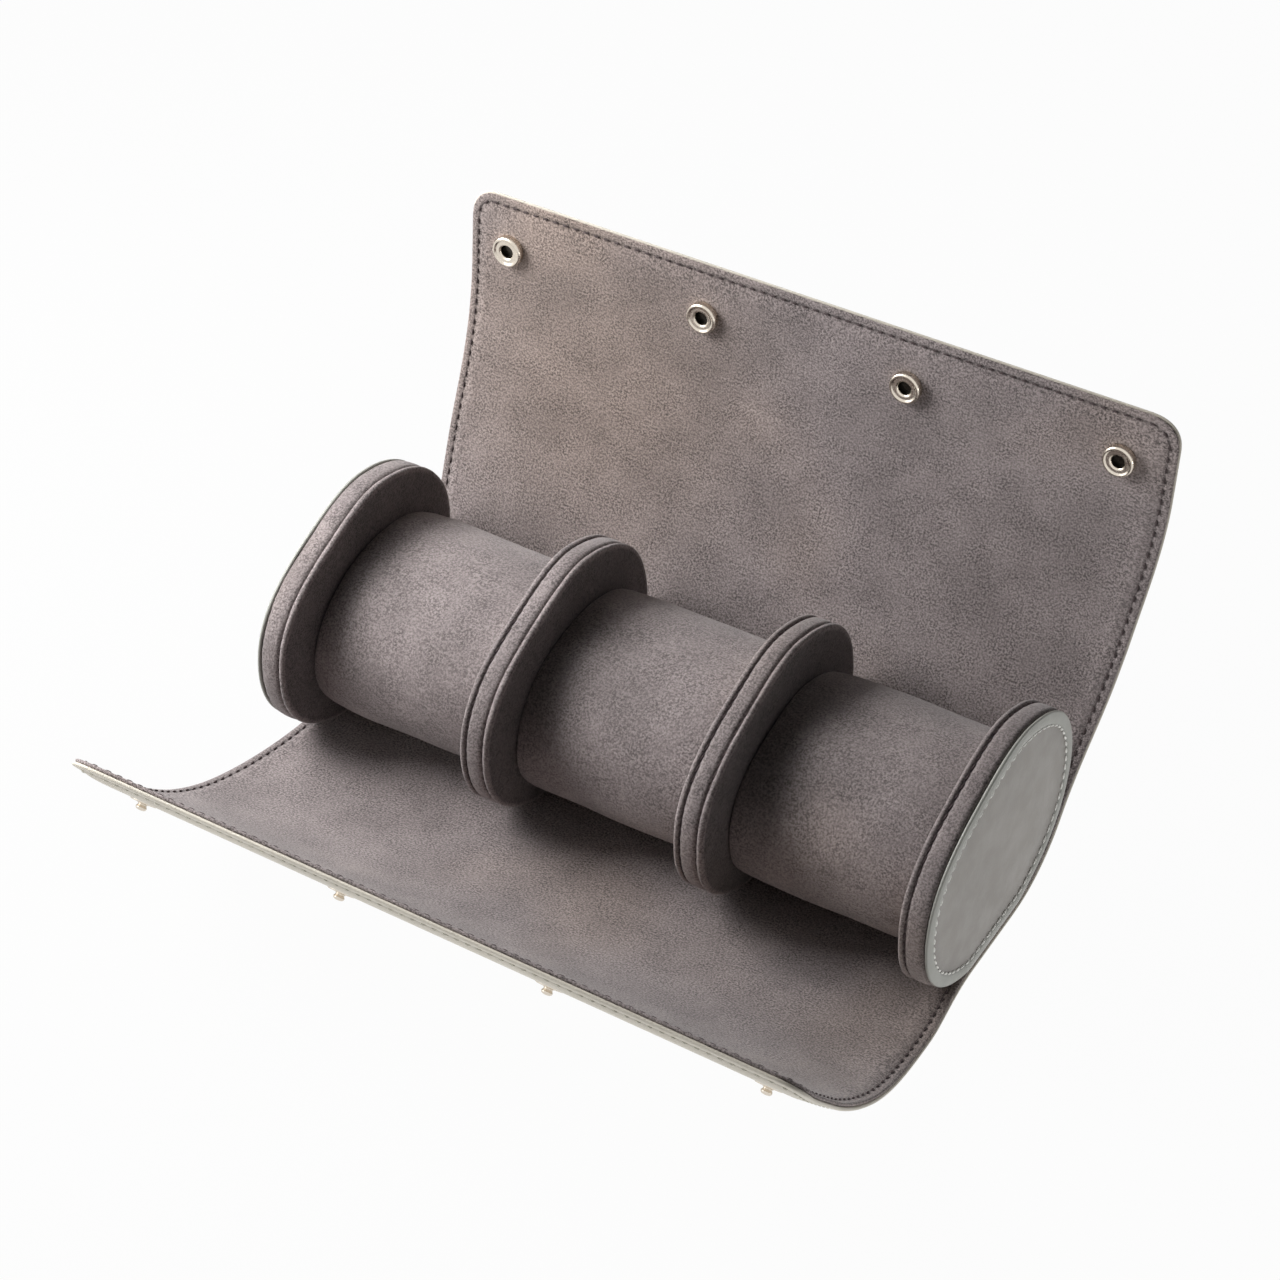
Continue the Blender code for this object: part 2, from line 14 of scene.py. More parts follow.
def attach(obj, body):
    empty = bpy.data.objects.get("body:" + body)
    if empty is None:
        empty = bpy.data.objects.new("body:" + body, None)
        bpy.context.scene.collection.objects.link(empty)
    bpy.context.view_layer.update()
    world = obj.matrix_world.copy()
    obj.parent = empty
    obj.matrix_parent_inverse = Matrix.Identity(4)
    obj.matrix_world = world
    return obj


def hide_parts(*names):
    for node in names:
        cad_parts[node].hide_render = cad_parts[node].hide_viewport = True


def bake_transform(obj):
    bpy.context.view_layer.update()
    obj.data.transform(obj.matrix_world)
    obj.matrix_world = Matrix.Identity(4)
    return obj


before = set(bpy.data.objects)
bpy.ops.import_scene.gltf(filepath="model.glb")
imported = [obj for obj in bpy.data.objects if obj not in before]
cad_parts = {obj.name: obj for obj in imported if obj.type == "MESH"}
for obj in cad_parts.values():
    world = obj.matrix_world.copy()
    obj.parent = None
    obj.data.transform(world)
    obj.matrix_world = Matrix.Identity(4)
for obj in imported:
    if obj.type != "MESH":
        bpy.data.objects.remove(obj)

log = logging.getLogger("watch_roll")

MM = 0.001
WHITE = (1.0, 1.0, 1.0, 1.0)
FLAT = "flat"
# The seam attribute holds painted shade: darkness painted into seam grooves and folds, into a band inside
# each end cap's seam, and into the snap sockets' bores.
PAINTED_SHADE = "seam"
# The nap attribute marks a form's inner part, painted darker: a divider's faces inside its welt get painted
# shade, and an end cap's middle takes its darker inner colour beside a rim that is partly a painted
# highlight.
INNER_SHADE = "nap"
SHARP_ANGLE = math.radians(50.0)


class End(Enum):
    """The two ends of the roll."""

    LEFT = -1
    RIGHT = 1


class Face(Enum):
    """The two sides of the wrap: its inside is lined, its outside is leather."""

    INSIDE = 1
    OUTSIDE = -1


# Shader maths


def linear(colour: tuple[int, int, int]) -> tuple[float, float, float, float]:
    """Turns a screen colour of 0 to 255 into the scene's linear one.

    Args:
        colour: red, green and blue as a screen shows them.

    Returns:
        Linear red, green, blue and an alpha of 1.
    """
    parts = []
    for value in colour:
        share = value / 255
        parts.append(share / 12.92 if share <= 0.04045 else ((share + 0.055) / 1.055) ** 2.4)
    return (*parts, 1.0)


@dataclass(frozen=True)
class Wire:
    """A node's output socket, which takes part in Python expressions."""

    painter: "Painter"
    socket: bpy.types.NodeSocket

    def maths(self, operation: str, *values: "Wire | float") -> "Wire":
        """Adds one Math node.

        Args:
            operation: the Math node's operation.
            values: what goes into its sockets, in order.

        Returns:
            The node's result.
        """
        return self.painter.add("ShaderNodeMath", {"operation": operation}, dict(enumerate(values)))

    def __add__(self, other: "Wire | float") -> "Wire":
        """Returns self + other."""
        return self.maths("ADD", self, other)

    def __radd__(self, other: float) -> "Wire":
        """Returns other + self."""
        return self.maths("ADD", other, self)

    def __sub__(self, other: "Wire | float") -> "Wire":
        """Returns self - other."""
        return self.maths("SUBTRACT", self, other)

    def __rsub__(self, other: float) -> "Wire":
        """Returns other - self."""
        return self.maths("SUBTRACT", other, self)

    def __mul__(self, other: "Wire | float") -> "Wire":
        """Returns self * other."""
        return self.maths("MULTIPLY", self, other)

    def __rmul__(self, other: float) -> "Wire":
        """Returns other * self."""
        return self.maths("MULTIPLY", other, self)

    def __abs__(self) -> "Wire":
        """Returns the value without its sign."""
        return self.maths("ABSOLUTE", self)

    def smooth(self, low: float, high: float) -> "Wire":
        """Returns a value that rises smoothly from 0 at low to 1 at high."""
        inputs = {"Value": self, "From Min": low, "From Max": high}
        return self.painter.add("ShaderNodeMapRange", {"interpolation_type": "SMOOTHSTEP"}, inputs)


class Painter:
    """Builds the nodes of one material or world."""

    def __init__(self, owner: bpy.types.Material | bpy.types.World) -> None:
        """Starts with no nodes.

        Args:
            owner: the new material or world.
        """
        owner.use_nodes = True
        self.owner = owner
        self.tree = owner.node_tree
        self.tree.nodes.clear()

    def add(
        self, kind: str, settings: dict | None = None, inputs: dict | None = None, output: int | str = 0
    ) -> Wire:
        """Adds one node of any type.

        Args:
            kind: the node's type.
            settings: properties of the node, set before its sockets.
            inputs: a number, colour, vector or wire for each socket, by name or place.
            output: the output socket to return, by name or place.

        Returns:
            The chosen output.
        """
        node = self.tree.nodes.new(kind)
        for key, value in (settings or {}).items():
            setattr(node, key, value)
        for key, value in (inputs or {}).items():
            if isinstance(value, Wire):
                self.tree.links.new(value.socket, node.inputs[key])
            else:
                node.inputs[key].default_value = value
        return Wire(self, node.outputs[output])

    def mix(self, share: Wire | float, low: Wire | tuple, high: Wire | tuple) -> Wire:
        """Mixes two colours.

        Args:
            share: 0 for the first colour, 1 for the second.
            low: the first colour.
            high: the second colour.

        Returns:
            The mixed colour.
        """
        return self.add("ShaderNodeMix", {"data_type": "RGBA"}, {0: share, 6: low, 7: high}, 2)

    def tint(self, colour: Wire | tuple, share: Wire) -> Wire:
        """Multiplies a colour by a value.

        Args:
            colour: the colour.
            share: what it is multiplied by.

        Returns:
            The lighter or darker colour.
        """
        grey = self.add("ShaderNodeCombineColor", {}, {0: share, 1: share, 2: share})
        settings = {"data_type": "RGBA", "blend_type": "MULTIPLY"}
        return self.add("ShaderNodeMix", settings, {0: 1.0, 6: colour, 7: grey}, 2)

    def noise(self, place: Wire, feature: float, detail: float = 2.0, roughness: float = 0.5) -> Wire:
        """Adds a noise whose blots are about one feature size across.

        Args:
            place: the coordinates, in metres.
            feature: the size of a blot, in metres.
            detail: how many finer layers it has.
            roughness: how strong the finer layers are.

        Returns:
            A value of about 0.3 to 0.7, around 0.5.
        """
        inputs = {"Vector": place, "Scale": 1 / feature, "Detail": detail, "Roughness": roughness}
        return self.add("ShaderNodeTexNoise", {"noise_dimensions": "3D"}, inputs)

    def object_place(self) -> Wire:
        """Returns the place on the piece, in metres."""
        return self.add("ShaderNodeTexCoord", output="Object")

    def attribute(self, name: str, output: str) -> Wire:
        """Returns one of the piece's own attributes."""
        return self.add("ShaderNodeAttribute", {"attribute_name": name}, output=output)

    def bump(self, height: Wire, distance: float, strength: float = 1.0) -> Wire:
        """Turns a height of 0 to 1 into a normal.

        Args:
            height: the height, 0 to 1.
            distance: the depth that a height of 1 stands for, in metres.
            strength: how much of it shows.

        Returns:
            The normal.
        """
        return self.add("ShaderNodeBump", {}, {"Height": height, "Distance": distance, "Strength": strength})

    def close(self, shader: Wire) -> bpy.types.Material | bpy.types.World:
        """Sends a shader to the output.

        Args:
            shader: the last node's shader.

        Returns:
            The material or world that the nodes belong to.
        """
        kind = "World" if isinstance(self.owner, bpy.types.World) else "Material"
        out = self.tree.nodes.new(f"ShaderNodeOutput{kind}")
        self.tree.links.new(shader.socket, out.inputs["Surface"])
        return self.owner


# Finishes


@dataclass(frozen=True)
class Finish:
    """A finish that is made once and shared by every piece that wears it."""

    name: str
    colour: tuple[int, int, int]

    def paint(self, painter: Painter) -> dict:
        """Returns what goes into the shader's sockets."""
        return {"Base Color": linear(self.colour)}

    def material(self) -> bpy.types.Material:
        """Builds the finish's material the first time that it is asked for.

        Returns:
            The material.
        """
        made = bpy.data.materials.get(self.name)
        if made:
            return made
        painter = Painter(bpy.data.materials.new(self.name))
        return painter.close(painter.add("ShaderNodeBsdfPrincipled", {}, self.paint(painter)))


@dataclass(frozen=True)
class SuedeFinish(Finish):
    """Brushed suede: a fine grain, a nap that lies in light and dark patches, painted shade in its seams'
    grooves, and painted shade on a divider's faces.

    A crease or a warm spot that lies a metre away stands for none.
    """

    follows_sheet: bool = False
    grain: float = 0.56 * MM
    contrast: float = 1.0
    nap_patch: float = 19.0 * MM
    # How much painted shade darkens the seams' grooves and a divider's faces inside its welt.
    seam_shade: float = 0.45
    inner_shade_strength: float = 0.45
    crease_shine: float = 0.14
    crease_width: float = 0.9 * MM
    crease_station: float = 1.0
    warm_spot: tuple[float, float, float] = (1.0, 1.0, 1.0)
    warm_reach: float = 80 * MM
    pile: float = 0.42 * MM

    def paint(self, painter: Painter) -> dict:
        """Works out the suede's looks.

        Args:
            painter: the painter of the finish's material.

        Returns:
            What goes into each of the shader's sockets.
        """
        place = painter.attribute(FLAT, "Vector") if self.follows_sheet else painter.object_place()
        seam = painter.attribute(PAINTED_SHADE, "Fac")
        fine = painter.noise(place, self.grain, 3.0, 0.62)
        fibre = painter.noise(place, self.grain * 0.32, 2.0, 0.6)
        tuft = painter.noise(place, self.grain * 3.4, 2.0, 0.55)
        patch = painter.noise(place, self.nap_patch, 3.0, 0.55)
        drift = painter.noise(place, self.nap_patch * 3.6, 1.0, 0.5)
        blot = painter.noise(place, self.nap_patch * 0.36, 2.0, 0.5).smooth(0.3, 0.7)
        grain = 0.80 * fine.smooth(0.36, 0.64) + 0.24 * tuft + 0.42 * fibre.smooth(0.3, 0.7)
        shade = 1 + self.contrast * (1.25 - 0.5 * blot) * (grain - 0.74)
        shade = shade * (0.87 + 0.26 * patch.smooth(0.28, 0.72))
        shade = shade * (0.95 + 0.10 * drift.smooth(0.3, 0.7)) * (0.955 + 0.09 * blot)
        # Painted shade: darker in the seams' grooves, and much darker on a divider's faces inside its welt.
        shade = shade * (1 - self.seam_shade * seam) * (1 - self.inner_shade_strength * painter.attribute(INNER_SHADE, "Fac"))
        shade = shade * (1 + self.crease_shine * self._crease(painter, place, patch))
        places = {0: place, 1: self.warm_spot}
        away = painter.add("ShaderNodeVectorMath", {"operation": "DISTANCE"}, places, "Value")
        spot = 1 - away.smooth(self.warm_reach / 8, self.warm_reach)
        turned = 0.5 * drift.smooth(0.5, 0.72) + 0.9 * spot
        warm = painter.mix(turned, linear(self.colour), linear(self.warmer()))
        height = 0.55 * fine + 0.30 * fibre + 0.45 * tuft
        return {
            "Base Color": painter.tint(warm, shade * (1 - 0.08 * spot)),
            "Roughness": 0.96,
            "Specular IOR Level": 0.15,
            "Sheen Weight": 0.25,
            "Sheen Roughness": 0.45,
            "Normal": painter.bump(height, self.pile, 0.9),
        }

    def _crease(self, painter: Painter, place: Wire, patch: Wire) -> Wire:
        """Draws a pale line, broken in places, along a fold across the sheet.

        Args:
            painter: the painter of the finish's material.
            place: the place on the flat sheet.
            patch: the noise that breaks the line.

        Returns:
            A value of 1 on the line and 0 away from it.
        """
        along = painter.add("ShaderNodeSeparateXYZ", {}, {0: place}, 1)
        near = 1 - abs(along - self.crease_station).smooth(self.crease_width / 9, self.crease_width)
        return near * patch.smooth(0.5, 0.62)

    def warmer(self) -> tuple[int, int, int]:
        """Returns the warmer colour of the nap's other lie."""
        red, green, blue = self.colour
        return (red + 4, green - 1, blue - 8)


@dataclass(frozen=True)
class LeatherFinish(Finish):
    """Smooth grained leather: small pebbles, a soft sheen and slight handling marks."""

    follows_sheet: bool = True
    inner: tuple[int, int, int] = (190, 185, 178)
    pebble: float = 0.75 * MM
    pebble_depth: float = 0.06 * MM
    cloud: float = 26.0 * MM
    wear: float = 7.0 * MM
    seam_shade: float = 0.30

    def paint(self, painter: Painter) -> dict:
        """Works out the leather's looks.

        Args:
            painter: the painter of the finish's material.

        Returns:
            What goes into each of the shader's sockets.
        """
        place = painter.attribute(FLAT, "Vector") if self.follows_sheet else painter.object_place()
        seam = painter.attribute(PAINTED_SHADE, "Fac")
        settings = {"feature": "F1", "distance": "EUCLIDEAN"}
        cells = painter.add("ShaderNodeTexVoronoi", settings, {"Vector": place, "Scale": 1 / self.pebble})
        fine = painter.noise(place, self.pebble * 0.5, 2.0, 0.55)
        cloud = painter.noise(place, self.cloud, 2.0, 0.5)
        wear = painter.noise(place, self.wear, 3.0, 0.6)
        # Painted shade: darker in the seam's groove and in a band just inside an end cap's seam.
        shade = (0.95 + 0.10 * cloud.smooth(0.3, 0.7)) * (0.97 + 0.05 * fine) * (1 - self.seam_shade * seam)
        # A cap's middle takes the darker, warmer inner colour; its rim keeps the lighter, greener colour,
        # whose extra lightness is a painted highlight.
        colour = painter.mix(painter.attribute(INNER_SHADE, "Fac"), linear(self.colour), linear(self.inner))
        return {
            "Base Color": painter.tint(colour, shade),
            "Roughness": 0.40 + 0.16 * wear.smooth(0.3, 0.7),
            "Specular IOR Level": 0.4,
            "Normal": painter.bump(0.8 * cells.smooth(0.0, 0.8) + 0.3 * fine, self.pebble_depth, 0.8),
        }


@dataclass(frozen=True)
class ThreadFinish(Finish):
    """Twisted sewing thread."""

    twists: float = 420.0
    strand: float = 0.05 * MM

    def paint(self, painter: Painter) -> dict:
        """Works out the thread's looks.

        Args:
            painter: the painter of the finish's material.

        Returns:
            What goes into each of the shader's sockets.
        """
        place = painter.object_place()
        inputs = {"Vector": place, "Scale": self.twists}
        twist = painter.add("ShaderNodeTexWave", {"bands_direction": "DIAGONAL"}, inputs)
        fuzz = painter.noise(place, 0.3 * MM)
        shade = 0.78 + 0.24 * twist + 0.14 * fuzz
        return {
            "Base Color": painter.tint(linear(self.colour), shade),
            "Roughness": 0.75,
            "Normal": painter.bump(twist, self.strand, 0.6),
        }


@dataclass(frozen=True)
class NickelFinish(Finish):
    """Polished nickel with faint handling wear."""

    def paint(self, painter: Painter) -> dict:
        """Works out the nickel's looks.

        Args:
            painter: the painter of the finish's material.

        Returns:
            What goes into each of the shader's sockets.
        """
        place = painter.object_place()
        worn = painter.noise(place, 1.4 * MM, 3.0, 0.6)
        fine = painter.noise(place, 0.25 * MM, 2.0, 0.5)
        # Painted shade: the socket's bore is painted dark where shade falls in the hole.
        bore_shadow = painter.attribute(PAINTED_SHADE, "Fac")
        return {
            "Base Color": painter.tint(linear(self.colour), (0.92 + 0.12 * worn) * (1 - bore_shadow)),
            "Metallic": 1.0,
            "Roughness": 0.16 + 0.20 * worn.smooth(0.35, 0.75),
            "Normal": painter.bump(fine, 0.01 * MM, 0.5),
        }


@dataclass(frozen=True)
class BoardFinish(Finish):
    """Grey pressed board, which only shows where a cover is lifted."""

    def paint(self, painter: Painter) -> dict:
        """Works out the board's looks.

        Args:
            painter: the painter of the finish's material.

        Returns:
            What goes into each of the shader's sockets.
        """
        place = painter.object_place()
        fibre = painter.noise(place, 0.8 * MM, 4.0, 0.6)
        return {
            "Base Color": painter.tint(linear(self.colour), 0.85 + 0.3 * fibre),
            "Roughness": 0.9,
            "Normal": painter.bump(fibre, 0.08 * MM, 0.5),
        }


LINING_SUEDE = SuedeFinish(
    "lining_suede",
    (149, 139, 138),
    True,
    contrast=1.1,
    crease_station=130 * MM,
    warm_spot=(-62 * MM, 128 * MM, 0.0),
)
PAD_SUEDE = SuedeFinish("pad_suede", (152, 142, 141), False, contrast=0.85)
WRAP_LEATHER = LeatherFinish("wrap_leather", (214, 207, 193), True)
# The rim colour is greener and lighter than the inner colour; the extra lightness is a painted highlight on
# the raised rim.
CAP_LEATHER = LeatherFinish("cap_leather", (168, 168, 161), False, (155, 150, 144))
DARK_THREAD = ThreadFinish("suede_thread", (66, 54, 54))
PALE_THREAD = ThreadFinish("cap_thread", (250, 249, 243))
WRAP_THREAD = ThreadFinish("wrap_thread", (222, 219, 206))
NICKEL = NickelFinish("snap_nickel", (222, 212, 198))
BOARD = BoardFinish("divider_board", (120, 116, 110))


# Mesh helpers


def finish_piece(name: str, shape: bmesh.types.BMesh, finish: Finish) -> bpy.types.Object:
    """Turns a bmesh into a named piece with its material.

    Args:
        name: the piece's name.
        shape: the bmesh, which is freed.
        finish: what the piece is made of.

    Returns:
        The new object, at the origin.
    """
    mesh = bpy.data.meshes.new(name)
    shape.to_mesh(mesh)
    shape.free()
    mesh.shade_smooth()
    mesh.set_sharp_from_angle(angle=SHARP_ANGLE)
    mesh.materials.append(finish.material())
    piece = bpy.data.objects.new(name, mesh)
    bpy.context.scene.collection.objects.link(piece)
    return piece


def grid(shape: bmesh.types.BMesh, columns: int, rows: int) -> list[bmesh.types.BMVert]:
    """Adds a flat grid, to be shaped by moving its points.

    Args:
        shape: the bmesh it goes into.
        columns: how many points it has along X.
        rows: how many points it has along Y.

    Returns:
        Its points, row by row.
    """
    made = bmesh.ops.create_grid(shape, x_segments=columns - 1, y_segments=rows - 1, size=1.0)
    return sorted(made["verts"], key=lambda vert: (round((vert.co.y + 1) * rows * 4), vert.co.x))


def rise(value: np.ndarray, low: float, high: float) -> np.ndarray:
    """Returns a smooth step from 0 at low to 1 at high."""
    share = np.clip((value - low) / (high - low), 0.0, 1.0)
    return share * share * (3 - 2 * share)


def add_stitch(
    shape: bmesh.types.BMesh, place: Vector, along: Vector, up: Vector, size: tuple[float, float, float]
) -> list[bmesh.types.BMVert]:
    """Adds one stitch, a small bead of thread.

    Args:
        shape: the bmesh it goes into.
        place: its middle.
        along: the seam's direction.
        up: away from the surface.
        size: its half length, half width and half height.

    Returns:
        Its points.
    """
    along = along.normalized()
    side = up.cross(along).normalized()
    axes = Matrix((along * size[0], side * size[1], side.cross(along).normalized() * -size[2])).transposed()
    turned = axes.to_4x4()
    turned.translation = place
    laid = turned @ Matrix.Rotation(math.pi / 2, 4, "Y")
    return bmesh.ops.create_uvsphere(shape, u_segments=6, v_segments=5, radius=1.0, matrix=laid)["verts"]


# The wrap


@dataclass(frozen=True)
class Wave:
    """One soft wave over the flaps: its share of the height, its lengths both ways, and where it starts."""

    share: float
    length_x: float
    length_s: float
    phase: float

    def lift(self, x: np.ndarray, s: np.ndarray) -> np.ndarray:
        """Returns how high the wave stands at a place and a station."""
        return self.share * np.sin(x / self.length_x + s / self.length_s + self.phase)


@dataclass(frozen=True)
class Warp:
    """A move that grows between two stations, and from the left of the roll to the right."""

    middle: float
    slope: float
    start: float
    end: float

    def move(self, side: np.ndarray, growth: np.ndarray) -> np.ndarray:
        """Returns the move at a side, -1 to 1, for a growth of 0 to 1."""
        return (self.middle + self.slope * side) * growth


@dataclass(frozen=True)
class Corner:
    """A corner of the wrap that reaches further along the roll."""

    reach: float
    start: float
    first_station: float
    last_station: float

    def move(self, x: np.ndarray, s: np.ndarray, end: float) -> np.ndarray:
        """Returns how far out it reaches at a place, measured towards its own end, and a station."""
        return self.reach * rise(x, self.start, end) * rise(s, self.first_station, self.last_station)


@dataclass
class WrapPath:
    """The line that the wrap's inside follows, seen from the roll's end, with s = 0 at the front hinge."""

    half_length: float = 101.5 * MM
    divider_half_width: float = 40.2 * MM
    front_share: float = 0.395
    back_share: float = 0.296
    curl_share: float = 0.745
    curl: float = 56.0
    thickness: float = 2.8 * MM
    front_stretch: float = 21.3 * MM
    front_end: float = 30.0 * MM
    front_bends: tuple[float, ...] = (5.0, 10.0, 18.0, 14.0)
    front_kink: float = 4.0
    back_stretch: float = 21.2 * MM
    back_end: float = 25.0 * MM
    back_bends: tuple[float, ...] = (2.0, 5.0, 8.0, 13.0)
    back_kink: float = 1.0
    waist: float = 0.033
    waist_front: tuple[float, float] = (-62 * MM, 2 * MM)
    waist_back: tuple[float, float] = (55 * MM, 105 * MM)
    back_reach: float = 1.5 * MM
    back_reach_start: float = 156 * MM
    step: float = 0.1 * MM
    softening: float = 6.0 * MM
    wave_height: float = 0.17 * MM
    waves: tuple[Wave, ...] = (
        Wave(1.0, 27 * MM, 41 * MM, 0.7),
        Wave(0.7, 13.5 * MM, -24 * MM, 2.3),
        Wave(0.6, 58 * MM, -15 * MM, 4.0),
    )
    front_calm: tuple[float, float, float, float] = (12 * MM, 30 * MM, 74 * MM, 86 * MM)
    back_calm: tuple[float, float, float, float] = (4 * MM, 22 * MM, -8 * MM, 2 * MM)
    front_warp: Warp = Warp(-1.0 * MM, -1.2 * MM, 25 * MM, 108 * MM)
    back_warp: Warp = Warp(-0.8 * MM, -1.2 * MM, 85 * MM, 166 * MM)
    lip_warp: Warp = Warp(1.0 * MM, 0.15 * MM, 99 * MM, 115 * MM)
    front_left: Corner = Corner(3.0 * MM, 90 * MM, 85 * MM, 115 * MM)
    front_right: Corner = Corner(1.8 * MM, 88 * MM, -5 * MM, 25 * MM)
    back_right: Corner = Corner(2.6 * MM, 91 * MM, 95 * MM, 145 * MM)

    def __post_init__(self) -> None:
        """Works out the line from its stretches and bends."""
        self.curl_start = self.divider_half_width * (self.front_share + self.back_share)
        self.curl_end = self.curl_start + self.divider_half_width * self.curl_share * math.radians(self.curl)
        front = range(len(self.front_bends) + 1)
        back = range(len(self.back_bends) + 1)
        self.front_joints = [-self.front_stretch * index for index in front]
        self.back_joints = [self.curl_end + self.back_stretch * index for index in back]
        self.front_edge = self.front_joints[-1] - self.front_end
        self.back_edge = self.back_joints[-1] + self.back_end
        self._trace()

    def _knots(self) -> tuple[list[float], list[float]]:
        """Works out where the wrap bends.

        Returns:
            The stations where the bend changes, and the heading in degrees at each.
        """
        heading = -self.front_kink
        before = [(self.front_joints[0] - self.step, heading)]
        for bend, joint in zip(self.front_bends, self.front_joints[1:]):
            heading -= bend
            before.append((joint, heading))
        before.append((self.front_edge - self.softening, heading))
        after = [(self.front_joints[0], 0.0), (self.curl_start, 0.0), (self.curl_end, self.curl)]
        heading = self.curl
        for bend, joint in zip(self.back_bends, self.back_joints[1:]):
            heading += bend
            after.append((joint, heading))
        after.append((self.back_joints[-1] + self.step, heading + self.back_kink))
        after.append((self.back_edge + self.softening, heading + self.back_kink))
        knots = before[::-1] + after
        return [s for s, _ in knots], [angle for _, angle in knots]

    def _trace(self) -> None:
        """Follows the heading from the flat base to both edges, with its corners softened."""
        stations, angles = self._knots()
        self._s = np.arange(stations[0], stations[-1], self.step)
        raw = np.radians(np.interp(self._s, stations, angles))
        width = int(self.softening / self.step) | 1
        padded = np.pad(raw, width // 2, mode="edge")
        self._heading = np.convolve(padded, np.ones(width) / width, mode="valid")
        y = np.cumsum(np.cos(self._heading)) * self.step
        z = np.cumsum(np.sin(self._heading)) * self.step
        base = 0.5 * self.curl_start
        y_base = np.interp(base, self._s, y)
        z_base = np.interp(base, self._s, z)
        self._y = y - y_base + base - self.divider_half_width * self.front_share
        self._z = z - z_base + self.thickness

    def heading(self, s: np.ndarray | float) -> np.ndarray | float:
        """Returns the line's angle above level at a station, in radians."""
        return np.interp(s, self._s, self._heading)

    def ripple(self, x: np.ndarray, s: np.ndarray) -> np.ndarray:
        """Returns how far the flaps' soft waves lift the wrap towards its inside.

        Args:
            x: the place along the roll.
            s: the station along the wrap.

        Returns:
            The lift in metres, 0 on the base, at the snaps and at the outer joints.
        """
        up, full, fading, flat = self.front_calm
        front = rise(-s, up, full) * (1 - rise(-s, fading, flat))
        up, full, fading, flat = self.back_calm
        last = self.back_joints[-1]
        back = rise(s, self.curl_end + up, self.curl_end + full) * (1 - rise(s, last + fading, last + flat))
        waves = sum(wave.lift(x, s) for wave in self.waves)
        return self.wave_height * waves * (back + front) + self.twist(x, s)

    def twist(self, x: np.ndarray, s: np.ndarray) -> np.ndarray:
        """Works out how far the flaps stand off a straight roll: both turn out, and the lip curls in.

        Args:
            x: the place along the roll.
            s: the station along the wrap.

        Returns:
            The move in metres, above 0 towards the wrap's inside.
        """
        side = x / self.half_length
        front, back, lip = self.front_warp, self.back_warp, self.lip_warp
        curled = np.clip((-s - lip.start) / (lip.end - lip.start), 0.0, 1.0) ** 2
        turned = front.move(side, rise(-s, front.start, front.end))
        turned = turned + back.move(side, rise(s, back.start, back.end))
        return turned + lip.move(side, curled)

    def narrowing(self, s: np.ndarray) -> np.ndarray:
        """Returns the share of its full length that the wrap has at a station, drawn in at its sewn waist."""
        return 1 - self.waist * rise(s, *self.waist_front) * (1 - rise(s, *self.waist_back))

    def across(self, x: np.ndarray, s: np.ndarray) -> np.ndarray:
        """Returns the place along the roll, drawn in at the waist and out at three of the corners."""
        right = self.back_right.move(x, s, self.half_length) + self.front_right.move(x, -s, self.half_length)
        return x * self.narrowing(s) + right - self.front_left.move(-x, -s, self.half_length)

    def place(self, x: float, s: float, depth: float) -> Vector:
        """Returns the point at a place along the roll, a station, and a depth below the inside."""
        return Vector(self.places(np.array([x]), np.array([s]), np.array([depth]))[0])

    def places(self, x: np.ndarray, s: np.ndarray, depth: np.ndarray) -> np.ndarray:
        """Finds many points at once.

        Args:
            x: their places along the roll.
            s: their stations along the wrap.
            depth: how deep they lie below the inside.

        Returns:
            An array with a row of x, y and z for each.
        """
        heading = self.heading(s)
        depth = depth - self.ripple(x, s)
        reach = s + self.back_reach * rise(s, self.back_reach_start, self.back_edge)
        y = np.interp(reach, self._s, self._y) + depth * np.sin(heading)
        z = np.interp(reach, self._s, self._z) - depth * np.cos(heading)
        return np.stack([self.across(x, s), y, z], axis=1)

    def inward(self, s: float) -> Vector:
        """Returns the direction that the wrap's inside faces."""
        heading = self.heading(s)
        return Vector((0.0, -math.sin(heading), math.cos(heading)))

    def onward(self, s: float) -> Vector:
        """Returns the direction in which the stations grow."""
        heading = self.heading(s)
        return Vector((0.0, math.cos(heading), math.sin(heading)))


@dataclass(frozen=True)
class Stretch:
    """One length of the wrap: a stiff one rides one body, a bending one joins two."""

    name: str
    start: float
    end: float
    bodies: tuple[str, ...]
    node_suffix: str
    joint: float = 0.0
    reach: float = 0.0


@dataclass(frozen=True)
class Layer:
    """One of the wrap's two layers."""

    name: str
    top: float
    bottom: float
    inset: float
    seam_inset: float
    seam_face: Face
    finish: Finish
    thread: Finish
    slot: str


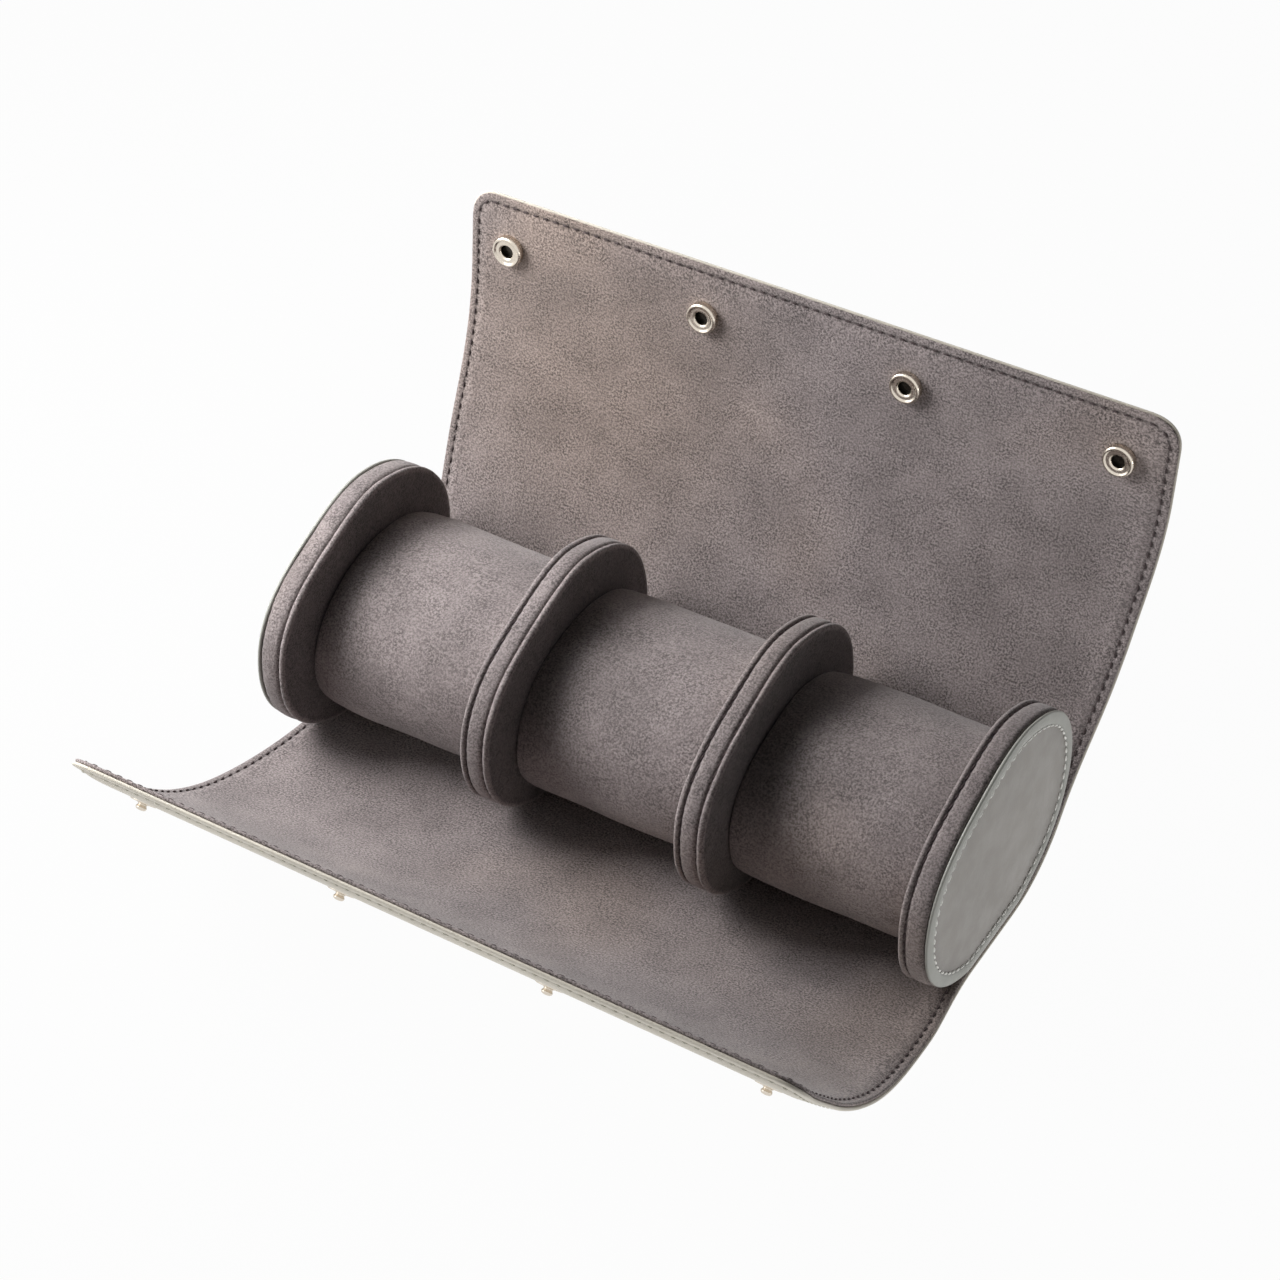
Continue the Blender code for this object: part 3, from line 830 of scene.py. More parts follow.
@dataclass
class Wrap:
    """The whole wrap: leather outside, suede inside, and a seam round both."""

    path: WrapPath
    corner_radius: float = 7.0 * MM
    bend_reach: float = 9.4 * MM
    end_bend_reach: float = 5.6 * MM
    end_rows: float = 6.4 * MM
    row_step: float = 1.6 * MM
    column_step: float = 2.1 * MM
    stitch_pitch: float = 3.1 * MM
    stitch_size: tuple[float, float, float] = (0.88 * MM, 0.3 * MM, 0.3 * MM)
    stitch_slant: float = 0.09
    lining_sink: float = 0.9
    leather_sink: float = 0.35
    edge_roll: float = 0.85
    front_skive: float = 0.30
    back_skive: float = 0.52
    skive_stations: tuple[float, float] = (90 * MM, 150 * MM)
    skive_start: float = 0.2 * MM
    skive_reach: float = 6.0 * MM
    puff: float = 0.22 * MM
    puff_inset: float = 2.3 * MM
    puff_width: float = 1.2 * MM
    groove_depth: float = 0.2 * MM
    groove_width: float = 0.45 * MM
    groove_shade: float = 0.7
    raised_edge: float = 0.04 * MM
    raised_insets: tuple[float, float] = (0.3 * MM, 0.9 * MM)
    raised_fall: float = 0.7 * MM
    weld: float = 0.01 * MM
    lining_bottom: float = 1.3 * MM
    lining_inset: float = 0.3 * MM
    lining_seam: float = 2.1 * MM
    leather_top: float = 1.4 * MM
    leather_seam: float = 2.5 * MM
    edge_stations: tuple[float, ...] = (
        0.0, 0.08, 0.2, 0.4, 0.7, 1.1, 1.5, 1.75, 1.95, 2.15, 2.35, 2.6, 2.9, 3.3, 3.9, 4.6, 5.4, 6.8)

    def layers(self) -> list[Layer]:
        """Lists the wrap's layers.

        Returns:
            The lining and the leather.
        """
        lining = (0.0, self.lining_bottom, self.lining_inset, self.lining_seam)
        leather = (self.leather_top, self.path.thickness, 0.0, self.leather_seam)
        return [
            Layer("lining", *lining, Face.INSIDE, LINING_SUEDE, DARK_THREAD, "suede"),
            Layer("leather", *leather, Face.OUTSIDE, WRAP_LEATHER, WRAP_THREAD, "leather"),
        ]

    def stretches(self) -> list[Stretch]:
        """Cuts the wrap into lengths where it bends.

        Returns:
            The lengths, from the front edge to the back edge.
        """
        path = self.path
        found = []
        for flap, joints, edge, sign in (
            ("front_flap", path.front_joints, path.front_edge, -1),
            ("back_flap", path.back_joints, path.back_edge, 1),
        ):
            count = len(joints)
            bodies = ["wrap_base"] + [f"{flap}_{index}" for index in range(1, count + 1)]
            half = abs(joints[1] - joints[0]) / 2
            cuts = [joint - sign * half for joint in joints] + [joints[-1] + sign * self.end_rows]
            for index, joint in enumerate(joints):
                reach = self.end_bend_reach if index == count - 1 else self.bend_reach
                low, high = sorted(cuts[index : index + 2])
                number = index + 1
                pair = (bodies[index], bodies[number])
                name, suffix = f"{flap}_bend_{number}", f"{flap}_*_{number}"
                found.append(Stretch(name, low, high, pair, suffix, joint, reach))
            low, high = sorted((cuts[-1], edge))
            found.append(Stretch(f"{flap}_end", low, high, (bodies[-1],), f"{flap}_*_{count}"))
            if sign < 0:
                base_start = cuts[0]
            else:
                found.append(Stretch("base", base_start, cuts[0], ("wrap_base",), "wrap_*_base"))
        return sorted(found, key=lambda stretch: stretch.start)

    def _stations(self, low: float, high: float, step: float, fine_low: bool, fine_high: bool) -> list[float]:
        """Returns stations from low to high, close together at the sheet's own edges.

        Args:
            low: the first station.
            high: the last one.
            step: the usual distance between them.
            fine_low: whether low is an edge of the sheet.
            fine_high: whether high is an edge of the sheet.

        Returns:
            The stations in order.
        """
        fine = [station * MM for station in self.edge_stations]
        start = [low + station for station in fine] if fine_low else [low]
        stop = [high - station for station in reversed(fine)] if fine_high else [high]
        count = max(2, round((stop[0] - start[-1]) / step))
        middle = [start[-1] + (stop[0] - start[-1]) * index / count for index in range(1, count)]
        return start + middle + stop

    def _depths(self, layer: Layer, face: Face, edge: np.ndarray, s: np.ndarray) -> np.ndarray:
        """Works out how deep one face of a layer lies: rolled at its edge, pressed at its seam, and skived.

        Args:
            layer: the layer.
            face: which of its faces.
            edge: each point's distance from the layer's edge.
            s: each point's station.

        Returns:
            Each point's depth below the wrap's inside.
        """
        middle = (layer.top + layer.bottom) / 2
        half = (layer.bottom - layer.top) / 2
        share = np.clip(edge / (self.edge_roll * half), 0.0, 1.0)
        roll = np.sqrt(1 - (1 - share) ** 2)
        depth = middle - face.value * half * roll
        if face == layer.seam_face:
            seam = layer.seam_inset
            groove = np.exp(-(((edge - seam) / self.groove_width) ** 2))
            raised = rise(edge, *self.raised_insets) * (1 - rise(edge, seam - self.raised_fall, seam))
            depth = depth + face.value * (self.groove_depth * groove - self.raised_edge * raised)
        if layer.seam_face == Face.INSIDE:
            beyond = edge - layer.seam_inset - self.puff_inset
            depth = depth - self.puff * np.exp(-((beyond / self.puff_width) ** 2))
        return depth * self.thinning(edge + layer.inset, s)

    def thinning(self, edge: np.ndarray | float, s: np.ndarray | float) -> np.ndarray | float:
        """Returns the share of its full thickness that the wrap has near its edge, thinner at the front."""
        skive = self.front_skive + (self.back_skive - self.front_skive) * rise(s, *self.skive_stations)
        return 1 - skive * (1 - rise(edge, self.skive_start, self.skive_reach))

    def _round_corners(
        self, x: np.ndarray, s: np.ndarray, half: float, low: float, high: float
    ) -> tuple[np.ndarray, np.ndarray, np.ndarray]:
        """Draws a sheet's square corners in to arcs.

        Args:
            x: each point's place along the roll.
            s: each point's station.
            half: half of the sheet's length.
            low: the station of its front edge.
            high: the station of its back edge.

        Returns:
            The new places, the new stations, and the distances from the sheet's edge.
        """
        radius = self.corner_radius
        behind = s > (low + high) / 2
        across = np.clip((np.abs(x) - (half - radius)) / radius, 0.0, 1.0)
        over = np.clip(np.where(behind, s - (high - radius), (low + radius) - s) / radius, 0.0, 1.0)
        both = (across > 0) & (over > 0)
        scale = np.where(both, np.maximum(across, over) / np.maximum(np.hypot(across, over), 1e-9), 1.0)
        new_x = np.where(both, np.sign(x) * (half - radius + radius * across * scale), x)
        turned = radius * over * scale
        new_s = np.where(both, np.where(behind, high - radius + turned, low + radius - turned), s)
        edge = np.minimum(half - np.abs(x), np.minimum(s - low, high - s))
        return new_x, new_s, edge

    def _sheet(self, layer: Layer, stretch: Stretch) -> bmesh.types.BMesh:
        """Builds one closed length of a layer, with its edge rolled and its seam pressed in.

        Args:
            layer: the layer.
            stretch: which length of it.

        Returns:
            The closed bmesh, whose points carry their place on the flat sheet and the painted shade of their
            seam's groove.
        """
        half = self.path.half_length - layer.inset
        low = self.path.front_edge + layer.inset
        high = self.path.back_edge - layer.inset
        first = max(stretch.start, low)
        last = min(stretch.end, high)
        columns = self._stations(-half, half, self.column_step, True, True)
        rows = self._stations(first, last, self.row_step, first == low, last == high)
        x, s = (part.ravel() for part in np.meshgrid(columns, rows))
        x, s, edge = self._round_corners(x, s, half, low, high)
        shape = bmesh.new()
        flat_place = shape.verts.layers.float_vector.new(FLAT)
        painted_shade_place = shape.verts.layers.float.new(PAINTED_SHADE)
        for face in Face:
            depth = self._depths(layer, face, edge, s)
            points = self.path.places(x, s, depth)
            # Painted shade along the seam's groove, on the seamed face only.
            shaded = self.groove_shade * self.groove_width
            seam = np.exp(-(((edge - layer.seam_inset) / shaded) ** 2)) * (face == layer.seam_face)
            verts = grid(shape, len(columns), len(rows))
            for vert, point, along, station, deep, dark in zip(verts, points, x, s, depth, seam):
                vert.co = point
                vert[flat_place] = (along, station, -deep)
                vert[painted_shade_place] = dark
        bmesh.ops.remove_doubles(shape, verts=shape.verts, dist=self.weld)
        cut = [edge for edge in shape.edges if edge.is_boundary]
        bmesh.ops.holes_fill(shape, edges=cut, sides=0)
        bmesh.ops.recalc_face_normals(shape, faces=shape.faces)
        return shape

    def _seam_line(self, layer: Layer) -> list[tuple[float, float, float, float]]:
        """Lays out a layer's seam on the flat sheet, round its four corners.

        Args:
            layer: the layer.

        Returns:
            For each stitch its place along the roll, its station, and its direction in both.
        """
        inset = layer.inset + layer.seam_inset
        low = self.path.front_edge + inset
        high = self.path.back_edge - inset
        radius = self.corner_radius - inset
        straight = Vector((self.path.half_length - inset - radius, (high - low) / 2 - radius))
        quarter = radius * math.pi / 2
        total = 4 * (straight.x + straight.y + quarter)
        count = round(total / self.stitch_pitch)
        stitches = []
        for index in range(count):
            left = total * (index + 0.5) / count
            for turn in range(4):
                reach = straight if turn % 2 == 0 else straight.yx
                side = 2 * reach.y
                if left < side + quarter:
                    break
                left -= side + quarter
            bend = max(left - side, 0.0) / radius
            centre = Vector((reach.x, min(left, side) - reach.y))
            spot = centre + Vector((math.cos(bend), math.sin(bend))) * radius
            angle = turn * math.pi / 2
            place = Matrix.Rotation(angle, 2) @ spot
            direction = Matrix.Rotation(angle + bend, 2) @ Vector((0.0, 1.0))
            stitches.append((place.x, place.y + (low + high) / 2, direction.x, direction.y))
        return stitches

    def _thread(self, layer: Layer, stretch: Stretch) -> bmesh.types.BMesh:
        """Builds the stitches that lie on one length of a layer.

        Args:
            layer: the layer.
            stretch: which length of it.

        Returns:
            The bmesh of the stitches, whose points carry their place on the flat sheet.
        """
        shape = bmesh.new()
        flat_place = shape.verts.layers.float_vector.new(FLAT)
        face = layer.seam_face
        surface = layer.top if face == Face.INSIDE else layer.bottom
        sunk = self.stitch_size[2] * (self.lining_sink if face == Face.INSIDE else self.leather_sink)
        for x, s, step_x, step_s in self._seam_line(layer):
            if not stretch.start <= s < stretch.end:
                continue
            thin = float(self.thinning(np.float64(layer.inset + layer.seam_inset), np.float64(s)))
            depth = (surface + face.value * self.groove_depth) * thin - face.value * sunk
            up = self.path.inward(s) * face.value
            along = Vector((step_x, 0.0, 0.0)) + self.path.onward(s) * step_s
            along = along + up.cross(along) * self.stitch_slant
            for vert in add_stitch(shape, self.path.place(x, s, depth), along, up, self.stitch_size):
                vert[flat_place] = (x, s, 0.0)
        return shape

    def _hold(self, piece: bpy.types.Object, stretch: Stretch) -> None:
        """Fixes a piece to its body; a piece that spans two bodies stays where it is, on neither.

        Args:
            piece: a sheet or its thread.
            stretch: the length of the wrap that it covers.
        """
        if len(stretch.bodies) == 1:
            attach(piece, stretch.bodies[0])
            return
        toward = math.copysign(stretch.reach, stretch.joint - self.path.curl_start)
        start = self.path.place(0.0, stretch.joint - toward, 0.0)
        end = self.path.place(0.0, stretch.joint + toward, 0.0)
        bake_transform(piece)

    def build(self) -> None:
        """Builds every length of both layers, with its thread."""
        for layer in self.layers():
            for stretch in self.stretches():
                shape = self._sheet(layer, stretch)
                sheet = finish_piece(f"{layer.name}_{stretch.name}", shape, layer.finish)
                shape = self._thread(layer, stretch)
                thread = finish_piece(f"{layer.name}_thread_{stretch.name}", shape, layer.thread)
                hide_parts(stretch.node_suffix.replace("*", layer.name))
                size = (2 * (self.path.half_length - layer.inset), stretch.end - stretch.start)
                self._hold(sheet, stretch)
                self._hold(thread, stretch)
                log.info("wrap: %s, %d faces", sheet.name, len(sheet.data.polygons))


# The dividers


@dataclass
class OvalForm:
    """A padded oval form that lies across the roll, drawn as rings from one side to the other."""

    half_width: float
    half_height: float
    centre_y: float
    centre_z: float
    foot_z: float
    power: float = 2.1
    flat_depth: float = 0.0
    flat_angle: float = 121.0
    flat_spread: float = 50.0
    even_inset: float = 4.0 * MM
    around: int = 200
    weld: float = 0.004 * MM

    def ring(self, inset: float, points: int) -> np.ndarray:
        """Returns one outline, drawn in by an inset and cut flat at the foot.

        Args:
            inset: how far inside the form's own outline it lies.
            points: how many points it has.

        Returns:
            An array of y and z.
        """
        turn = np.linspace(0, 2 * np.pi, points, endpoint=False)
        shrink = max(1 - max(inset - self.even_inset, 0.0) / self.half_height, 0.0)
        near = min(inset, self.even_inset)
        wide = (self.half_width - near) * shrink
        tall = (self.half_height - near) * shrink
        y = np.sign(np.cos(turn)) * np.abs(np.cos(turn)) ** (2 / self.power) * wide
        z = np.sign(np.sin(turn)) * np.abs(np.sin(turn)) ** (2 / self.power) * tall
        foot = (self.foot_z + near - self.centre_z) * shrink
        off = np.minimum(np.abs(np.degrees(np.arctan2(z, y)) - self.flat_angle), self.flat_spread)
        drawn = self.flat_depth * shrink * np.cos(np.pi / 2 * off / self.flat_spread) ** 2
        share = 1 - drawn / np.maximum(np.hypot(y, z), 0.01 * MM)
        return np.stack([y * share + self.centre_y, np.maximum(z, foot) * share + self.centre_z], axis=1)

    def loft(
        self,
        profile: list[tuple[float, float]],
        seams: list[float],
        lumps: float,
        seed: float,
        inner_shade_inset: float = 1.0,
        fine_lumps: float = 0.07 * MM,
    ) -> bmesh.types.BMesh:
        """Builds the closed form.

        Args:
            profile: each ring's place along the roll and its inset, from one side's middle to the other's.
            seams: for each ring, how much painted shade its seam's groove gets.
            lumps: how far the padding is uneven.
            seed: where in the unevenness it lies.
            inner_shade_inset: how far in the inner part begins, which the finish paints darker, in metres.
            fine_lumps: how far the surface is uneven close up.

        Returns:
            The closed bmesh.
        """
        shape = bmesh.new()
        painted_shade_place = shape.verts.layers.float.new(PAINTED_SHADE)
        inner_shade_place = shape.verts.layers.float.new(INNER_SHADE)
        verts = grid(shape, self.around + 1, len(profile))
        for row, ((x, inset), dark) in enumerate(zip(profile, seams)):
            outline = self.ring(inset, self.around)
            for column in range(self.around + 1):
                y, z = outline[column % self.around]
                vert = verts[row * (self.around + 1) + column]
                vert.co = (x, y, z)
                # Each point carries its seam's painted shade, and whether it lies in the inner part that is
                # painted darker.
                vert[painted_shade_place] = dark
                vert[inner_shade_place] = 1.0 if inset > inner_shade_inset else 0.0
        bmesh.ops.remove_doubles(shape, verts=shape.verts, dist=self.weld)
        for x, _ in (profile[0], profile[-1]):
            open_edges = [edge for edge in shape.edges if edge.is_boundary]
            ring = [edge for edge in open_edges if abs(edge.verts[0].co.x - x) < 0.01 * MM]
            bmesh.ops.holes_fill(shape, edges=ring, sides=0)
        bmesh.ops.recalc_face_normals(shape, faces=shape.faces)
        shape.normal_update()
        moves = [(vert, self._lump(vert, lumps, fine_lumps, seed)) for vert in shape.verts]
        for vert, move in moves:
            vert.co += move
        return shape

    def _lump(self, vert: bmesh.types.BMVert, lumps: float, fine_lumps: float, seed: float) -> Vector:
        """Works out how far the padding's unevenness moves a point, less at the foot.

        Args:
            vert: the point.
            lumps: how far the padding is uneven.
            fine_lumps: how far the surface is uneven close up.
            seed: where in the unevenness the form lies.

        Returns:
            The move, along the surface's normal.
        """
        place = vert.co / (17 * MM) + Vector((seed, 0.0, 0.0))
        small = vert.co / (1.3 * MM) + Vector((0.0, seed, 0.0))
        fade = min(1.0, max(0.0, (vert.co.z - self.foot_z) / (3 * MM)))
        return vert.normal * fade * (lumps * noise.noise(place) + fine_lumps * noise.noise(small))


def arc(
    centre: tuple[float, float], radius: float, start: float, end: float, steps: int
) -> list[tuple[float, float]]:
    """Draws an arc of a profile, whose insets grow downwards.

    Args:
        centre: its centre's place along the roll, and inset.
        radius: its radius.
        start: its first angle, in degrees.
        end: its last angle, in degrees.
        steps: how many steps it has.

    Returns:
        Each point's place along the roll, and inset.
    """
    points = []
    for index in range(steps + 1):
        angle = math.radians(start + (end - start) * index / steps)
        points.append((centre[0] + radius * math.cos(angle), centre[1] - radius * math.sin(angle)))
    return points


@dataclass
class Divider:
    """One upright divider: a stiff board in suede, with a rolled welt and a seam at each side of its rim."""

    index: int
    count: int = 4
    row_half_length: float = 98.3 * MM
    thickness: float = 8.4 * MM
    half_width: float = 40.2 * MM
    half_height: float = 33.2 * MM
    flat_depth: float = 2.988 * MM
    centre_z: float = 34.5 * MM
    foot_z: float = 3.1 * MM
    rim_fold: float = 1.7 * MM
    # Inside this inset a divider's faces are painted in shade; the welt outside it keeps the plain colour.
    inner_shade_inset: float = 0.9 * MM
    lumps: float = 0.35 * MM
    seed_step: float = 7.0
    groove_depth: float = 0.8 * MM
    # Painted shade along the rim's seam grooves: its strength, width and reach.
    seam_shade: float = 0.85
    seam_width: float = 0.24 * MM
    seam_reach: float = 2 * MM
    face_shares: tuple[float, ...] = (0.985, 0.9, 0.75, 0.6, 0.45, 0.3, 0.2, 0.12)
    face_insets: tuple[float, ...] = (3.2 * MM, 2.6 * MM, 2.0 * MM, 1.5 * MM)
    band_crown: float = 0.28 * MM
    band_shoulder: float = 0.352 * MM
    band_shares: tuple[float, ...] = (0.0, 0.05, 0.12, 0.25, 0.4, 0.5, 0.6, 0.75, 0.88, 0.95, 1.0)
    cap_thickness: float = 1.0 * MM
    cap_gap: float = 0.2 * MM
    cap_inset: float = 0.3 * MM
    cap_bulge: float = 0.16 * MM
    cap_seam: float = 4.0 * MM
    cap_dish: float = 0.33 * MM
    cap_dish_start: float = 5.6
    cap_dish_fade: float = 7.0
    cap_dish_insets: tuple[float, ...] = (
        4.6, 5.2, 6.0, 7.2, 8.7, 10.7, 13.2, 16.0, 20.0, 24.0, 28.0, 31.5, 32.7)
    cap_shade_fade: float = 2.6 * MM
    cap_lumps: float = 0.1 * MM
    cap_fine_lumps: float = 0.02 * MM
    cap_seed_step: float = 3.0
    hidden_shares: tuple[float, ...] = (0.985, 0.6, 0.3, 0.1)
    hidden_inset: float = 1.2 * MM
    stitch_pitch: float = 3.0 * MM
    stitch_size: tuple[float, float, float] = (1.2 * MM, 0.3 * MM, 0.3 * MM)
    stitch_slant: float = 0.12
    rim_stitch_inset: float = 0.62 * MM
    cap_stitch: tuple[float, float, float] = (1.15 * MM, 0.36 * MM, 0.3 * MM)
    cap_stitch_depth: float = 0.16 * MM

    def __post_init__(self) -> None:
        """Works out where along the roll the divider stands."""
        pitch = (2 * self.row_half_length - self.thickness) / (self.count - 1)
        self.left = -self.row_half_length + (self.index - 1) * pitch
        self.right = self.left + self.thickness
        self.capped = {1: End.LEFT, self.count: End.RIGHT}.get(self.index)
        sizes = (self.half_width, self.half_height, 0.0, self.centre_z, self.foot_z)
        self.form = OvalForm(*sizes, flat_depth=self.flat_depth)

    def _side(self) -> list[tuple[float, float]]:
        """Draws half of the rim's profile.

        Returns:
            The rings' places and insets, from the middle of a suede face to the seam's groove.
        """
        radius = self.rim_fold / 2
        face = [(0.0, share * self.half_height) for share in self.face_shares]
        face += [(0.0, inset) for inset in self.face_insets]
        welt = arc((radius, radius), radius, 180.0, 25.0, 8)
        groove = [(self.rim_fold + x, self.groove_depth) for x in (-0.02 * MM, 0.1 * MM)]
        return face + welt + groove

    def _band(self, low: float, high: float) -> list[tuple[float, float]]:
        """Draws the crowned band between two grooves, or between a groove and the cap.

        Args:
            low: where its left side lies.
            high: where its right side lies.

        Returns:
            The rings' places and insets.
        """
        points = []
        for share in self.band_shares:
            off = abs(2 * share - 1)
            fall = self.band_crown * off**2 + self.band_shoulder * max(0.0, off - 0.76) / 0.24
            points.append((low + (high - low) * share, fall))
        return points

    def _profile(self) -> tuple[list[tuple[float, float]], list[float]]:
        """Draws the whole profile, from the left side's middle to the right side's.

        Returns:
            The rings' places and insets, and the painted shade of the seam's groove at each.
        """
        side = self._side()
        mirrored = [(self.thickness - x, inset) for x, inset in reversed(side)]
        seam_left = self.rim_fold + 0.2 * MM
        seam_right = self.thickness - seam_left
        inner = self.cap_thickness + self.cap_gap
        hidden = [(inner, self.half_height * share) for share in self.hidden_shares]
        hidden.append((inner, self.hidden_inset))
        if self.capped == End.LEFT:
            profile = hidden + self._band(inner + 0.1 * MM, seam_right) + mirrored
        elif self.capped == End.RIGHT:
            far = [(self.thickness - x, inset) for x, inset in reversed(hidden)]
            profile = side + self._band(seam_left, self.thickness - inner - 0.1 * MM) + far
        else:
            profile = side + self._band(seam_left, seam_right) + mirrored
        # Painted shade in the two seam grooves of the rim.
        dark = []
        for x, inset in profile:
            near = min(abs(x - self.rim_fold), abs(x - self.thickness + self.rim_fold))
            shade = self.seam_shade * math.exp(-((near / self.seam_width) ** 2))
            dark.append(shade if inset < self.seam_reach else 0.0)
        return [(self.left + x, inset) for x, inset in profile], dark

    def _seam(
        self,
        shape: bmesh.types.BMesh,
        x: float,
        inset: float,
        size: tuple[float, float, float],
        facing: Vector | None = None,
    ) -> None:
        """Adds the stitches of one oval seam.

        Args:
            shape: the bmesh they go into.
            x: the seam's place along the roll.
            inset: how far inside the divider's outline it lies.
            size: a stitch's half sizes.
            facing: the surface's direction, or None on the rim, where it faces outwards.
        """
        outline = self.form.ring(inset, 720)
        closed = np.vstack([outline, outline[:1]])
        lengths = np.concatenate([[0.0], np.cumsum(np.hypot(*np.diff(closed, axis=0).T))])
        total = lengths[-1]
        count = round(total / self.stitch_pitch)
        for index in range(count):
            ends = []
            for step in (-0.4 * MM, 0.4 * MM):
                spot = (total * (index + 0.5) / count + step) % total
                ends.append(Vector((x, *(np.interp(spot, lengths, closed[:, axis]) for axis in (0, 1)))))
            along = (ends[1] - ends[0]).normalized()
            up = facing or Vector((1.0, 0.0, 0.0)).cross(along)
            add_stitch(shape, (ends[0] + ends[1]) / 2, along + up.cross(along) * self.stitch_slant, up, size)

    def _cap_profile(self) -> tuple[list[tuple[float, float]], list[float]]:
        """Draws the left cap's profile, from its hidden side's middle to its outer side's.

        Returns:
            The rings' places and insets, and the painted shade at each: a dark line in the seam's groove, and
            a band that fades inwards from the seam.
        """
        thick = self.cap_thickness
        radius = thick / 2
        back = [(thick, self.half_height * share) for share in (0.985, 0.6, 0.3, 0.12)]
        roll = arc((radius, self.cap_inset + radius), radius, 0.0, 180.0, 12)
        rim = []
        for step in (0.9, 1.4, 1.9, 2.5, 2.9):
            bulge = self.cap_bulge * math.sin(math.pi * (step - 0.5) / 2.9)
            rim.append((-bulge, self.cap_inset + step * MM))
        groove = [(0.04 * MM, 3.6 * MM), (0.24 * MM, 3.85 * MM), (0.31 * MM, 4.0 * MM), (0.31 * MM, 4.2 * MM)]
        dish = []
        for inset in self.cap_dish_insets:
            beyond = max(inset - self.cap_dish_start, 0.0) / self.cap_dish_fade
            dish.append((self.cap_dish * math.exp(-(beyond**2)), inset * MM))
        profile = back + roll + rim + groove + dish
        dark = []
        # Painted shade on the cap's outer side: a dark line in the seam's groove, and a band fading inwards
        # from the seam.
        for x, inset in profile:
            beyond = (inset - self.cap_seam) / self.cap_shade_fade
            pressed = 0.65 * math.exp(-beyond) if beyond > 0 else math.exp(-((6 * beyond) ** 2))
            dark.append(pressed if x < thick / 2 else 0.0)
        return profile, dark

    def _build_cap(self) -> None:
        """Builds the leather cap on the roll's end, with its stitches."""
        end = self.capped
        outer = self.left if end == End.LEFT else self.right
        profile, dark = self._cap_profile()
        side = end.name.lower()
        placed = [(outer - end.value * x, inset) for x, inset in profile]
        seed = self.cap_seed_step * self.index
        # From just inside its seam the cap is marked for the darker inner colour; the lighter rim outside is
        # partly a painted highlight.
        nap = self.cap_seam - 0.1 * MM
        shape = self.form.loft(placed, dark, self.cap_lumps, seed, nap, self.cap_fine_lumps)
        cap = finish_piece(f"end_cap_{side}", shape, CAP_LEATHER)
        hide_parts(f"end_cap_leather_{side}")
        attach(cap, "wrap_base")
        shape = bmesh.new()
        facing = Vector((end.value, 0.0, 0.0))
        self._seam(shape, outer - end.value * self.cap_stitch_depth, self.cap_seam, self.cap_stitch, facing)
        thread = finish_piece(f"end_cap_{side}_thread", shape, PALE_THREAD)
        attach(thread, "wrap_base")

    def build(self) -> None:
        """Builds the divider's suede cover, its seams and, at an end of the roll, its leather cap."""
        profile, dark = self._profile()
        shape = self.form.loft(profile, dark, self.lumps, self.seed_step * self.index, self.inner_shade_inset)
        cover = finish_piece(f"divider_{self.index}_cover", shape, PAD_SUEDE)
        nodes = [f"divider_{self.index}_band"]
        seams = []
        if self.capped != End.LEFT:
            nodes.append(f"divider_{self.index}_left_face")
            seams.append(self.left + self.rim_fold + 0.04 * MM)
        if self.capped != End.RIGHT:
            nodes.append(f"divider_{self.index}_right_face")
            seams.append(self.right - self.rim_fold - 0.04 * MM)
        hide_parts(*nodes)
        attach(cover, "wrap_base")
        shape = bmesh.new()
        for x in seams:
            self._seam(shape, x, self.rim_stitch_inset, self.stitch_size)
        thread = finish_piece(f"divider_{self.index}_thread", shape, DARK_THREAD)
        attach(thread, "wrap_base")
        if self.capped:
            self._build_cap()
        log.info("divider %d: %s", self.index, cover.name)


# The cushions


